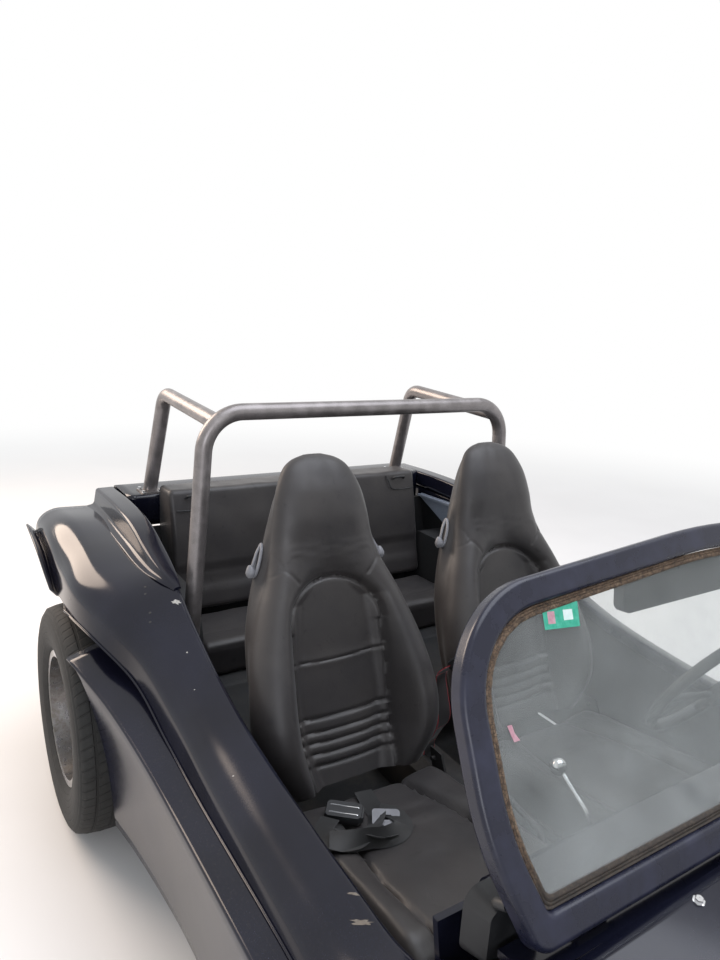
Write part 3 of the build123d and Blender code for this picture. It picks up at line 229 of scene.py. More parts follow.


# Tyre compound moulded in a steel mould: matt black with patches of brown dust, and painted shade darkening the
# grooves. The tread's blocks and lengthwise grooves follow the flat map of each tyre, whose first axis runs round it
# and second across it.
tyreLook = {"black": "#171717", "worn": "#161615", "face": "#222221", "dust": "#3B342D", "grooveShade": "#0B0A09",
            "blockMm": 30, "ribMm": 46, "slant": 0.35, "treadHalfMm": 98, "shoulderMm": 22, "wallRingMm": 9,
            "treadDepthMm": 5}


def makeTyreRubber():
    material, tree, ends, place = startMaterial("tyreRubberMoulded", tyreLook["black"], 0.78)
    axes = addNode(tree, "SeparateXYZ", [addNode(tree, "UVMap", uv_map="treadMap")]).outputs
    across = addNode(tree, "Math", [axes["Y"]], operation="ABSOLUTE")
    # lengthwise grooves at the ribs' edges, and slanted cross grooves
    halfRib, halfBlock = tyreLook["ribMm"] / 2 * mm, tyreLook["blockMm"] / 2 * mm
    rib = addNode(tree, "Math", [across, halfRib], operation="ADD")
    rib = addNode(tree, "Math", [rib, halfRib], operation="PINGPONG")
    ribCut = addNode(tree, "MapRange", [rib, 3.0 * mm, 5.0 * mm, 0.0, 1.0])
    slanted = addNode(tree, "Math", [across, tyreLook["slant"], axes["X"]], operation="MULTIPLY_ADD")
    block = addNode(tree, "Math", [slanted, halfBlock], operation="PINGPONG")
    blockCut = addNode(tree, "MapRange", [block, 1.6 * mm, 3.2 * mm, 0.1, 1.0])
    tread = addNode(tree, "Math", [ribCut, blockCut], operation="MINIMUM")
    edge, wallStart = tyreLook["treadHalfMm"] * mm, (tyreLook["treadHalfMm"] + tyreLook["shoulderMm"]) * mm
    shoulder = addNode(tree, "MapRange", [across, edge, wallStart, 0.0, 1.0])
    # side wall rings beyond the shoulder
    ring = addNode(tree, "Math", [across, tyreLook["wallRingMm"] * mm], operation="PINGPONG")
    wall = addNode(tree, "MapRange", [ring, 0.0, 2 * mm, 0.72, 1.0])
    relief = addNode(tree, "Mix", {0: shoulder, 2: tread, 3: wall})
    dust = addNode(tree, "TexNoise", {"Vector": place, "Scale": perMetre(30), "Detail": 8.0, "Roughness": 0.7})
    grain = addNode(tree, "TexNoise", {"Vector": place, "Scale": perMetre(2.5), "Detail": 3.0})
    colour = addNode(tree, "ValToRGB", [dust],
                     stops=[(0.3, tyreLook["worn"]), (0.6, tyreLook["face"]), (0.85, tyreLook["dust"])])
    # painted shade: where the relief is low, the grooves get a near-black colour
    grooveShade = addNode(tree, "MapRange", [relief, 0.0, 0.8, 0.75, 0.0])
    addNode(tree, "Mix", {0: grooveShade, 6: colour, 7: tyreLook["grooveShade"]}, ends["Base Color"], data_type="RGBA")
    deep = addNode(tree, "Bump", {"Height": relief, "Strength": 1.0, "Distance": tyreLook["treadDepthMm"] * mm})
    addNode(tree, "Bump", {"Height": grain, "Strength": 0.5, "Distance": 0.4 * mm, "Normal": deep}, ends["Normal"])
    return material


# Chassis steel under brushed black enamel: half gloss, with rust coming through in spots.
def makeChassisEnamel():
    black = "#151516"
    material, tree, ends, place = startMaterial("steelBlackEnamel", black, 0.45)
    rust = addNode(tree, "TexNoise", {"Vector": place, "Scale": perMetre(40), "Detail": 8.0, "Roughness": 0.72})
    spots = addNode(tree, "MapRange", [rust, 0.60, 0.72, 0.0, 0.25])
    addNode(tree, "Mix", {0: spots, 6: black, 7: "#5A3A28"}, ends["Base Color"], data_type="RGBA")
    addNode(tree, "MapRange", [rust, 0.4, 0.7, 0.4, 0.8], ends["Roughness"])
    addNode(tree, "Bump", {"Height": rust, "Strength": 0.5, "Distance": 0.5 * mm}, ends["Normal"])
    return material


# Injection-moulded plastic with a fine spark-eroded grain: dull charcoal or grey, paler where it has faded.
def makeMouldedPlastic(name, hexText, roughness):
    material, tree, ends, place = startMaterial(name, hexText, roughness)
    grain = addNode(tree, "TexNoise", {"Vector": place, "Scale": perMetre(1.6), "Detail": 2.0})
    fade = addNode(tree, "TexNoise", {"Vector": place, "Scale": perMetre(50), "Detail": 4.0})
    faded = addNode(tree, "MapRange", [fade, 0.45, 0.8, 0.0, 0.35])
    addNode(tree, "Mix", {0: faded, 6: hexText, 7: "#4A4B4D"}, ends["Base Color"], data_type="RGBA")
    addNode(tree, "MapRange", [fade, 0.3, 0.7, roughness - 0.08, roughness + 0.12], ends["Roughness"])
    addNode(tree, "Bump", {"Height": grain, "Strength": 0.5, "Distance": 0.2 * mm}, ends["Normal"])
    return material


# Pressed and fluted headlamp glass: clear and bright, with ribs 9 mm apart.
def makeLampGlass():
    material, tree, ends, place = startMaterial("sodaGlassFluted", "#F2F5F5", 0.04)
    ends["Transmission Weight"].default_value = 0.75
    ends["IOR"].default_value = 1.45
    # a wave band spans 2 pi of texture space
    flutes = addNode(tree, "TexWave", {"Vector": place, "Scale": perMetre(9) / 6.283}, bands_direction="Y")
    addNode(tree, "Bump", {"Height": flutes, "Strength": 0.8, "Distance": 1.2 * mm}, ends["Normal"])
    return material


# Injection-moulded acrylic lens: clear red, glossy, with a prism pattern moulded inside.
def makeRedLens():
    red = "#8E0F12"
    material, tree, ends, place = startMaterial("acrylicRedMoulded", red, 0.12)
    ends["Coat Weight"].default_value = 0.8
    prisms = addNode(tree, "TexVoronoi", {"Vector": place, "Scale": perMetre(6)}, feature="DISTANCE_TO_EDGE")
    edges = addNode(tree, "MapRange", [prisms, 0.0, 0.3, 0.4, 0.0])
    addNode(tree, "Mix", {0: edges, 6: red, 7: "#2A0505"}, ends["Base Color"], data_type="RGBA")
    addNode(tree, "Bump", {"Height": prisms, "Strength": 0.5, "Distance": 0.5 * mm}, ends["Normal"])
    return material


# Woven polyester belt webbing: fine twill ribs across a flat band, dull with a soft shine. The edge may be coloured.
def makeWebbing(name, hexText, edgeHex):
    material, tree, ends, place = startMaterial(name, hexText, 0.6)
    ends["Sheen Weight"].default_value = 0.2
    axes = addNode(tree, "SeparateXYZ", [addNode(tree, "UVMap", uv_map="bandMap")]).outputs
    # ribs are about 1.5 mm apart, drawn at 3 mm
    rib = addNode(tree, "Math", [axes["X"], 1.5 * mm], operation="PINGPONG")
    across = addNode(tree, "Math", [axes["Y"]], operation="ABSOLUTE")
    edge = addNode(tree, "MapRange", [across, 18 * mm, 19 * mm, 0.0, 1.0])
    addNode(tree, "Mix", {0: edge, 6: hexText, 7: edgeHex}, ends["Base Color"], data_type="RGBA")
    addNode(tree, "Bump", {"Height": rib, "Strength": 0.7, "Distance": 0.8 * mm}, ends["Normal"])
    return material


# Finishes that one wear pattern makes. base is colour, roughness and metallic; wear and relief are patterns, each
# with its size in mm, detail and roughness; gloss maps the wear to roughness; bump is the relief's strength and
# depth in mm.
wornFinishes = {
    # navy enamel sprayed on the windscreen's steel frame: satin gloss, rubbed thin where hands hold it
    "frameEnamel": {"name": "steelFrameNavyEnamel", "base": ("#191B2B", 0.26), "specular": 0.4,
                    "wear": (60, 6.0, 0.6), "colours": [(0.45, "#191B2B"), (0.8, "#2C2E40")],
                    "gloss": (0.3, 0.8, 0.2, 0.42), "relief": (3, 3.0, 0.5), "bump": (0.5, 0.15)},
    # cast and turned aluminium: bright on the crowns, dulled by brake dust
    "aluminium": {"name": "aluminiumTurned", "base": ("#B9BABD", 0.28, 1.0), "wear": (35, 7.0, 0.7),
                  "colours": [(0.35, "#8C8781"), (0.6, "#B9BABD"), (0.8, "#CDCED1")], "gloss": (0.3, 0.7, 0.42, 0.2),
                  "bump": (0.3, 0.2)},
    # sand-cast aluminium and magnesium cases: dull grey, oily and dusty, with a grainy skin
    "castAlloy": {"name": "aluminiumSandCast", "base": ("#7E7B76", 0.55, 0.85), "wear": (70, 7.0, 0.7),
                  "colours": [(0.34, "#2E2A26"), (0.5, "#6C6964"), (0.75, "#8E8B86")],
                  "gloss": (0.3, 0.7, 0.35, 0.68), "relief": (3, 4.0, 0.5), "bump": (0.7, 0.7)},
    # steel with bright chromium plate: mirror bright, with a few dull spots
    "chrome": {"name": "steelChromePlated", "base": ("#D5D6D8", 0.08, 1.0), "wear": (12, 5.0, 0.7),
               "gloss": (0.5, 0.75, 0.06, 0.3)},
    # pressed steel silencer, flame-sprayed and then rusted by heat: matt brown grey
    "heated": {"name": "steelHeatRusted", "base": ("#4A3B33", 0.8, 0.3), "wear": (25, 9.0, 0.75),
               "colours": [(0.35, "#2C2623"), (0.55, "#5B4436"), (0.75, "#7A5038")], "bump": (0.7, 0.8)},
    # steel sheet under white stove enamel, bare of marks: clean, faint dirt
    "plate": {"name": "steelWhiteEnamel", "base": ("#D8D7D2", 0.35), "wear": (60, 6.0, 0.5),
              "colours": [(0.3, "#BDB8AD"), (0.6, "#DAD9D4")]},
    # broken edge of the glass fibre where the gel-coat chipped off: chalky grey, matt
    "bareFibre": {"name": "glassFibreBroken", "base": ("#C9C6BD", 0.8), "wear": (4, 6.0, 0.8),
                  "colours": [(0.3, "#74726E"), (0.6, "#B4B2AC")]},
    # satin paint sprayed on pressed rails: pale grey blue, a little mottled
    "railPaint": {"name": "steelPaintedGreyBlue", "base": ("#7E8795", 0.4), "wear": (9, 5.0, 0.7),
                  "colours": [(0.35, "#7E8795"), (0.72, "#8C94A1")]},
    # mud dried on the sill and half wiped away: dull brown grey
    "driedMud": {"name": "driedMudWiped", "base": ("#5E574E", 0.4), "wear": (9, 5.0, 0.7),
                 "colours": [(0.35, "#5E574E"), (0.72, "#787066")]},
}
# printed vinyl film stuck on the glass, faded by the sun: flat colour, a little mottled
filmColours = [("Green", "#1E9A7C", "#4FB69B"), ("Pink", "#B5808C", "#C9A5AC"), ("White", "#CFE3DC", "#E4EDEA")]
for film, hexText, paleHex in filmColours:
    wornFinishes[f"film{film}"] = {"name": f"vinylFilm{film}Printed", "base": (hexText, 0.4), "wear": (9, 5.0, 0.7),
                                   "colours": [(0.35, hexText), (0.72, paleHex)]}


def makeWornFinish(row):
    material, tree, ends, place = startMaterial(row["name"], *row["base"])
    if "specular" in row:
        ends["Specular IOR Level"].default_value = row["specular"]
    wear, relief = (
        addNode(tree, "TexNoise", {"Vector": place, "Scale": perMetre(size), "Detail": detail, "Roughness": rough})
        for size, detail, rough in (row["wear"], row.get("relief", row["wear"])))
    if "colours" in row:
        addNode(tree, "ValToRGB", [wear], ends["Base Color"], row["colours"])
    if "gloss" in row:
        addNode(tree, "MapRange", [wear, *row["gloss"]], ends["Roughness"])
    if "bump" in row:
        strength, depth = row["bump"]
        addNode(tree, "Bump", {"Height": relief, "Strength": strength, "Distance": depth * mm}, ends["Normal"])
    return material


looks = {
    "gelcoat": makeGelcoat(), "cage": makeCageEnamel(), "seal": makePerishedRubber(), "glass": makeGlassDustAndPaintedReflection(),
    "leather": makeLeather(), "tub": makeTubPaint(), "tyre": makeTyreRubber(), "enamel": makeChassisEnamel(),
    "plastic": makeMouldedPlastic("polypropyleneMoulded", "#1D1E20", 0.5),
    "plasticGrey": makeMouldedPlastic("polyamideGreyMoulded", "#77777B", 0.42),
    "lampGlass": makeLampGlass(), "redLens": makeRedLens(),
    "webbing": makeWebbing("polyesterWebbingBlack", "#0B0B0C", "#111112"),
    "webbingRed": makeWebbing("polyesterWebbingRedEdge", "#1D1A1B", "#9C2F38"),
}
looks.update({finish: makeWornFinish(row) for finish, row in wornFinishes.items()})
print("materials made:", len(looks))

# finishes of the frame's own nodes, also of those that a piece below stands for
frameFinish = {
    "gelcoat": ["body_sides", "dashboard", "side_pods", "rear_deck", "bonnet", "nose_panel", "headlamp_shells"],
    "tub": ["cockpit_tub"], "cage": ["roll_cage", "front_bumper", "rear_bumper"],
    "frameEnamel": ["screen_frame"], "seal": ["screen_seal"], "glass": ["screen_glass"],
    "plastic": ["interior_mirror", "wing_mirrors", "steering_wheel", "steering_column"],
    "enamel": ["seat_frames", "pedals", "handbrake", "front_beam", "rear_axle", "fan_shroud", "knuckle_left",
               "knuckle_right"],
    "chrome": ["gear_lever"], "castAlloy": ["gearbox", "engine"], "heated": ["exhaust"],
    "plate": ["plate_bracket"], "lampGlass": ["headlamp_lenses"], "redLens": ["tail_lamps"],
    "leather": ["seat_cushions", "seat_back_left", "seat_back_right", "bench_cushions", "bench_backs"],
    "tyre": ["tyre_rear_left", "tyre_rear_right", "tyre_front_left", "tyre_front_right"],
    "aluminium": ["rim_rear_left", "rim_rear_right", "rim_front_left", "rim_front_right"],
}
for finish, names in frameFinish.items():
    for name in names:
        node = nodes[name]
        node.data.materials.clear()
        node.data.materials.append(looks[finish])


def addPiece(name, parts, finish, body, stands=(), wall=0.0, crease=38, outward=None):
    # one mesh from several skins given in millimetres, riding on a body
    outward = not wall if outward is None else outward
    points, faces = [], []
    for partPoints, partFaces in parts:
        faces += [[index + len(points) for index in face] for face in partFaces]
        points += [tuple(float(value) * mm for value in point) for point in partPoints]
    mesh = bpy.data.meshes.new(name)
    mesh.from_pydata(points, [], faces)
    mesh.validate()
    if outward:
        # closed forms get their faces turned outwards
        work = bmesh.new()
        work.from_mesh(mesh)
        bmesh.ops.recalc_face_normals(work, faces=work.faces)
        work.to_mesh(mesh)
        work.free()
    mesh.shade_smooth()
    mesh.set_sharp_from_angle(angle=math.radians(crease))
    mesh.materials.append(looks[finish])
    piece = bpy.data.objects.new(name, mesh)
    scene.collection.objects.link(piece)
    if wall:
        solid = piece.modifiers.new("wall", "SOLIDIFY")
        solid.thickness = wall * mm
        solid.offset = -1.0
    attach(piece, body)
    if stands:
        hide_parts(*stands)
    return piece


def skin(rows, closed=False, flip=False, caps=False):
    # quads between rows of points, each row with the same number of points
    count = len(rows[0])
    faces = []
    for i in range(len(rows) - 1):
        for j in range(count if closed else count - 1):
            k = (j + 1) % count
            face = (i * count + j, (i + 1) * count + j, (i + 1) * count + k, i * count + k)
            faces.append(face[::-1] if flip else face)
    if caps:
        first, last = list(range(count)), list(range((len(rows) - 1) * count, len(rows) * count))
        faces += [first[::-1], last] if flip else [first, last[::-1]]
    return [point for row in rows for point in row], faces


def bothSides(part):
    # the part and its mirror image across the car
    points, faces = part
    return [part, ([(x, -y, z) for x, y, z in points], [tuple(face)[::-1] for face in faces])]


def easedTable(rows, stations):
    # the table at each station, each column on a smooth curve over the first one
    table = np.array(rows, float)
    along = table[:, 0]
    slopes = []
    for i in range(len(along)):
        low, high = max(i - 1, 0), min(i + 1, len(along) - 1)
        slopes.append((table[high] - table[low]) / (along[high] - along[low]))
    eased = []
    for at in stations:
        i = int(min(max(np.searchsorted(along, at, side="right") - 1, 0), len(along) - 2))
        run = along[i + 1] - along[i]
        t = (at - along[i]) / run
        eased.append(table[i] * (2 * t**3 - 3 * t**2 + 1) + table[i + 1] * (3 * t**2 - 2 * t**3)
                     + slopes[i] * (t**3 - 2 * t**2 + t) * run + slopes[i + 1] * (t**3 - t**2) * run)
    return eased


def bentLine(corners, bends, arcSteps=7, legSteps=4):
    # a line with its corners rounded by arcs, always with the same number of points
    corners = [np.array(corner, float) for corner in corners]
    line, start = [], corners[0]
    for before, corner, after, bend in zip(corners, corners[1:], corners[2:], bends):
        arrive = (corner - before) / np.linalg.norm(corner - before)
        leave = (after - corner) / np.linalg.norm(after - corner)
        turn = math.acos(max(-1.0, min(1.0, float(arrive @ leave))))
        reach = bend * math.tan(turn / 2)
        first, last = corner - arrive * reach, corner + leave * reach
        line += [start + (first - start) * step / legSteps for step in range(legSteps)]
        if turn < 1e-3:
            line += [first + (last - first) * step / arcSteps for step in range(arcSteps)]
        else:
            inward = (leave - arrive) / np.linalg.norm(leave - arrive)
            centre = corner + inward * bend / math.cos(turn / 2)
            for step in range(arcSteps):
                t = step / arcSteps
                line.append(centre + (math.sin((1 - t) * turn) * (first - centre)
                                      + math.sin(t * turn) * (last - centre)) / math.sin(turn))
        start = last
    return line + [start + (corners[-1] - start) * step / legSteps for step in range(legSteps + 1)]


def evenLine(line, count):
    # the same line with its points evenly spaced
    line = np.array(line, float)
    lengths = np.concatenate([[0.0], np.cumsum(np.linalg.norm(np.diff(line, axis=0), axis=1))])
    wanted = np.linspace(0.0, lengths[-1], count)
    return [np.array([np.interp(at, lengths, line[:, axis]) for axis in range(line.shape[1])]) for at in wanted]


def closedLine(corners, bends, inset=0.0, arcSteps=6, legSteps=6):
    # a closed outline with rounded corners, drawn in by the inset; corners run anticlockwise
    corners = [np.array(corner, float) for corner in corners]
    moved = []
    for i, corner in enumerate(corners):
        arrive = corner - corners[i - 1]
        leave = corners[(i + 1) % len(corners)] - corner
        sides = [np.array((-way[1], way[0])) / np.linalg.norm(way) for way in (arrive, leave)]
        moved.append(corner + (sides[0] + sides[1]) * inset / (1 + float(sides[0] @ sides[1])))
    middle = (moved[-1] + moved[0]) / 2
    line = bentLine([middle] + moved + [middle], [max(bend - inset * 0.5, 3.0) for bend in bends], arcSteps, legSteps)
    return line[:-1]


def tubeSkin(path, radius, sides, closed=False):
    # round bar along a list of points, its section carried without twist
    path = [Vector(point) for point in path]
    ways = []
    for i in range(len(path)):
        before = path[i - 1] if (i > 0 or closed) else path[i]
        after = path[(i + 1) % len(path)] if (i < len(path) - 1 or closed) else path[i]
        ways.append((after - before).normalized())
    side = ways[0].orthogonal().normalized()
    rings = []
    for point, way in zip(path, ways):
        side = (side - way * side.dot(way)).normalized()
        other = way.cross(side)
        rings.append([tuple(point + (side * math.cos(a) + other * math.sin(a)) * radius)
                      for a in [2 * math.pi * step / sides for step in range(sides)]])
    if closed:
        rings.append(rings[0])
    return skin(rings, closed=True, flip=True, caps=not closed)


def turnedSkin(profile, sides):
    # revolved section: profile is (radius, along y)
    rings = []
    for step in range(sides + 1):
        turn = 2 * math.pi * step / sides
        rings.append([(radius * math.cos(turn), along, radius * math.sin(turn)) for radius, along in profile])
    return skin(rings)


def shifted(part, offset):
    points, faces = part
    return [tuple(np.array(point, float) + np.array(offset, float)) for point in points], faces


def smoothLine(points, count):
    # even points along a smooth curve through the given ones
    points = np.array(points, float)
    table = np.column_stack([np.arange(len(points)), points])
    fine = [row[1:] for row in easedTable(table, np.linspace(0, len(points) - 1, len(points) * 12))]
    return evenLine(fine, count)


def aimed(part, spot, way):
    # a part turned about the y axis, laid so that it points this way
    turn = Vector((0, 1, 0)).rotation_difference(Vector(way)).to_matrix()
    return [tuple(turn @ Vector(point) + Vector(spot)) for point in part[0]], part[1]


def boxSkin(low, high, bevel):
    # small block with bevelled vertical edges, drawn in a little at its top and foot
    (x0, y0, z0), (x1, y1, z1) = low, high
    midX, midY, drawnIn = (x0 + x1) / 2, (y0 + y1) / 2, 0.94
    ring = [(x0 + bevel, y0), (x1 - bevel, y0), (x1, y0 + bevel), (x1, y1 - bevel), (x1 - bevel, y1),
            (x0 + bevel, y1), (x0, y1 - bevel), (x0, y0 + bevel)]
    inner = [(midX + (x - midX) * drawnIn, midY + (y - midY) * drawnIn) for x, y in ring]
    levels = [(inner, z0), (ring, z0 + bevel), (ring, z1 - bevel), (inner, z1)]
    return skin([[(x, y, z) for x, y in line] for line, z in levels], closed=True, flip=True, caps=True)


def touch(thing, start, way):
    # where a straight line first meets an object, in millimetres
    hit = thing.ray_cast(Vector(start) * mm, Vector(way))
    return hit[1] / mm if hit[0] else None


handed = (("Left", 1), ("Right", -1))
wheels = [(axle, side, hand) for axle in ("front", "rear") for side, hand in handed]
rearX, frontX = -1200.0, 1200.0

# Body sides: rows are x, then y and z of the cockpit edge, the crest, the side and the hem, and the lip's reach and
# rise. Arches are x, the height of their centre and their radius.
bodyShape = {"wall": 6.0, "stepMm": 26, "flange": 42, "edgeBend": 12, "crestBend": 95, "sideBend": 62,
             "lowerPoints": 34, "rearArch": (rearX, 345, 375), "frontArch": (frontX, 322, 394)}
sideRows = [(rearX + row[0],) + row[1:] for row in (
    (-470, 618, 868, 820, 874, 874, 846, 878, 802, 27, 24), (-270, 620, 872, 830, 888, 878, 836, 881, 782, 27, 22),
    (-80, 622, 872, 846, 868, 878, 798, 883, 712, 14, 8), (105, 626, 868, 838, 838, 872, 788, 880, 720, 5, 0),
    (256, 631, 856, 785, 812, 830, 766, 846, 704, 5, 0), (410, 632, 790, 742, 752, 778, 708, 786, 645, 5, 0),
    (600, 630, 716, 713, 690, 752, 640, 765, 582, 5, 0), (816, 630, 668, 708, 645, 748, 598, 759, 553, 5, 0),
    (1200, 630, 632, 708, 612, 748, 576, 760, 548, 5, 0), (1440, 632, 648, 714, 622, 756, 588, 769, 551, 5, 0),
    (1620, 635, 800, 722, 768, 778, 700, 792, 580, 5, 0))]
sideRows += [(frontX + row[0],) + row[1:] for row in (
    (-500, 560, 770, 700, 782, 845, 722, 862, 585, 5, 0), (-290, 500, 735, 650, 804, 850, 770, 884, 560, 5, 0),
    (0, 430, 680, 610, 822, 852, 800, 902, 555, 5, 0), (250, 372, 612, 595, 762, 846, 742, 892, 515, 5, 0),
    (375, 335, 556, 585, 668, 818, 650, 862, 462, 5, 0), (432, 322, 512, 580, 592, 796, 578, 836, 420, 5, 0),
    (462, 316, 470, 578, 520, 778, 508, 816, 378, 5, 0))]
podRows = [
    (rearX + 190, 832, 668, 914, 636, 874, 205), (rearX + 256, 812, 652, 898, 626, 862, 205),
    (rearX + 410, 774, 616, 864, 598, 830, 205), (rearX + 600, 757, 575, 838, 566, 806, 203),
    (rearX + 816, 751, 549, 824, 541, 790, 200), (rearX + 1200, 752, 544, 822, 536, 788, 200),
    (rearX + 1440, 761, 547, 826, 538, 790, 200), (rearX + 1620, 784, 576, 838, 566, 798, 203),
    (frontX - 500, 854, 581, 876, 572, 824, 210), (frontX - 290, 876, 556, 892, 548, 834, 210)]


def archHeight(x):
    # height of the wheel arches' edge at this station, 0 away from both
    heights = [0.0]
    for centre, height, radius in (bodyShape["rearArch"], bodyShape["frontArch"]):
        away = abs(x - centre)
        if away < radius:
            heights.append(height + math.sqrt(radius**2 - away**2))
    return max(heights)


def stationsAlong(start, end):
    # even steps, with closer ones where an arch rises steeply
    stations = list(np.linspace(start, end, int((end - start) / bodyShape["stepMm"])))
    for centre, height, radius in (bodyShape["rearArch"], bodyShape["frontArch"]):
        for way in (-1, 1):
            stations += [centre + way * radius * math.cos(math.radians(turn)) for turn in range(1, 50, 6)]
    return sorted(x for x in set(stations) if start <= x <= end)


def cutBelow(line, height, count):
    # the line down to this height, evenly spaced
    kept = [line[0]]
    for before, after in zip(line, line[1:]):
        if after[1] < height:
            share = (before[1] - height) / max(before[1] - after[1], 1e-6)
            kept.append(before + (after - before) * max(min(share, 1.0), 0.02))
            break
        kept.append(after)
    return evenLine(kept, count)


def makeBodySides():
    rows = []
    for row in easedTable(sideRows, stationsAlong(sideRows[0][0], sideRows[-1][0])):
        x, edgeY, edgeZ, crestY, crestZ, sideY, sideZ, hemY, hemZ, lipOut, lipUp = row
        corners = [(edgeY, edgeZ - bodyShape["flange"]), (edgeY, edgeZ), (crestY, crestZ), (sideY, sideZ),
                   (hemY, hemZ)]
        line = bentLine(corners, [bodyShape["edgeBend"], bodyShape["crestBend"], bodyShape["sideBend"]])
        upper, lower = line[:22], line[21:]
        arch = archHeight(x)
        lower = cutBelow(lower, max(arch, hemZ - 50), bodyShape["lowerPoints"])
        hem = lower[-1]
        if arch > hemZ:
            lip = [hem + np.array((0.5, -0.3)), hem + np.array((0.2, -1.5)), hem + np.array((-2.5, -1.8))]
        else:
            fold = np.array((lipOut, lipUp))
            lip = [hem + np.array((1.5, -2.0)), hem + fold * 0.5, hem + fold]
        rows.append([(x, y, z) for y, z in upper + lower[1:] + lip])
    return addPiece("bodySides", bothSides(skin(rows)), "gelcoat", "chassis", ["body_sides"],
                    bodyShape["wall"], 50)


def makeSidePods():
    rows = []
    stations = [x for x in stationsAlong(podRows[0][0], podRows[-1][0]) if x < frontX - 300]
    for x, rootY, rootZ, ledgeY, ledgeZ, skirtY, skirtZ in easedTable(podRows, stations):
        corners = [(rootY - 14, rootZ + 26), (rootY - 12, rootZ - 0.8), (ledgeY, ledgeZ - 0.8), (skirtY, skirtZ)]
        line = bentLine(corners, [8, 9])
        upper, lower = line[:22], line[21:]
        arch = archHeight(x)
        lower = cutBelow(lower, max(arch, skirtZ - 50), 14)
        rows.append([(x, y, z) for y, z in upper + lower[1:]])
    return addPiece("sidePods", bothSides(skin(rows)), "gelcoat", "chassis", ["side_pods"],
                    bodyShape["wall"], 30)


bonnetRows = [(rearX + 1646, 630.9, 800, 22), (frontX - 500, 558.9, 768, 34), (frontX - 290, 498.9, 733, 44),
              (frontX, 428.9, 678, 52), (frontX + 250, 370.9, 610, 46), (frontX + 375, 333.9, 554, 34),
              (frontX + 432, 320.9, 510, 22)]


def makeBonnet():
    rows = []
    for x, half, edge, crown in easedTable(bonnetRows, np.linspace(bonnetRows[0][0], bonnetRows[-1][0], 60)):
        radius = (half**2 + crown**2) / (2 * crown)
        across = np.linspace(-half, half, 45)
        rows.append([(x, y, edge + crown - radius + math.sqrt(radius**2 - y**2)) for y in across])
    return addPiece("bonnetLid", [skin(rows)], "gelcoat", "chassis", ["bonnet"], 6.0)


makeBodySides()
makeSidePods()
makeBonnet()
print("body shells made")


# Front seat backs. P = hinge + F * d + U * h + Y * w; rows are height h, half width at the front and at the back,
# crest offset, and the depths d of the crest, the middle and the back face.
seatShape = {"hinge": (-420, 310, 425), "recline": 20, "rowMm": 4, "grooveMm": 6.0, "puffMm": 7.0}
backRows = [
    (2, 212, 196, 150, -8, -62, -124), (32, 230, 204, 166, 10, -66, -134), (68, 252, 212, 184, 28, -70, -142),
    (116, 267, 218, 200, 42, -72, -147), (175, 273, 226, 206, 46, -72, -148), (229, 270, 231, 205, 42, -70, -148),
    (284, 262, 233, 199, 34, -68, -147), (347, 250, 233, 190, 22, -65, -145), (419, 228, 227, 176, 8, -60, -142),
    (490, 203, 212, 156, -6, -54, -136), (544, 180, 197, 132, -16, -46, -130), (582, 166, 183, 108, -20, -34, -124),
    (634, 152, 163, 82, -18, -20, -118), (693, 142, 142, 62, -6, -6, -112), (752, 131, 120, 50, -6, -4, -104),
    (795, 116, 98, 42, -14, -12, -97), (834, 92, 70, 30, -26, -24, -88), (854, 62, 46, 18, -39, -38, -78),
    (864, 28, 20, 8, -51, -50, -68)]
headSeam = [(155, 612), (140, 570), (104, 528)]
shoulderSeam = [(142, 566), (185, 548), (233, 534)]
pleatLines = (168, 133, 106, 78, 50)
# release levers: middle of the collar as height and depth, its half height and half width, and the bar round it
leverShape = {"place": (600, -96), "collar": (40, 13), "rim": 4.5, "stem": [(638, 2), (622, 9), (600, 12), (584, 14)],
              "pull": [(0.5, -17), (8, -16), (12.5, -9), (13.5, -1), (9.5, 9), (5, 16), (0.5, 17)]}


def awayFromLine(w, h, line):
    # distance from a point to a stitched line, in millimetres
    best = 1e9
    for (w0, h0), (w1, h1) in zip(line, line[1:]):
        run = (w1 - w0) ** 2 + (h1 - h0) ** 2
        t = max(0.0, min(1.0, ((w - w0) * (w1 - w0) + (h - h0) * (h1 - h0)) / run))
        best = min(best, math.hypot(w - w0 - t * (w1 - w0), h - h0 - t * (h1 - h0)))
    return best


def insertReach(h):
    # how far the sewn-in middle panel reaches to each side
    if h < 400:
        return 126 + 14 * math.sin(math.pi * min(max(h, 0), 400) / 520)
    return 139 * math.sqrt(max(0.0, 1 - ((h - 400) / 134) ** 2))


def backRelief(w, h):
    # sewn detail on the front face, measured out from the plain surface
    side = abs(w)
    relief = 0.0
    if h < 400:
        inside = insertReach(h) - side
    else:
        inside = (1 - math.hypot(side / 139, (h - 400) / 134)) * 136
    relief -= seatShape["grooveMm"] * 1.5 * math.exp(-(inside / 5.5) ** 2)
    if inside > 0:
        relief += seatShape["puffMm"] * (1 - math.exp(-inside / 16))
        tilt = h + 4 * math.cos(w / 60)
        relief -= 5.0 * math.exp(-((tilt - 318) / 3.4) ** 2) - 1.6 * math.exp(-((tilt - 318) / 16) ** 2)
        for line in pleatLines:
            relief -= 6.5 * math.exp(-((tilt - line - 4) / 5.0) ** 2)
        if pleatLines[-1] < h < pleatLines[0]:
            relief += 4.0
    else:
        relief += 5.0 * (1 - math.exp(inside / 14))
    if 500 < h < 640:
        relief -= 3.6 * math.exp(-(awayFromLine(side, h, headSeam) / 3.0) ** 2)
        relief -= 3.0 * math.exp(-(awayFromLine(side, h, shoulderSeam) / 2.6) ** 2)
    # creases where the head pad sags
    if 540 < h < 680 and side < 120:
        fold = noise.noise(Vector((w / 55.0, h / 16.0, 3.7))) * 2.2
        relief += fold * math.exp(-((h - 606) / 26) ** 2)
    return relief + 1.6 * noise.noise(Vector((w / 90.0, h / 110.0, 0.0)))


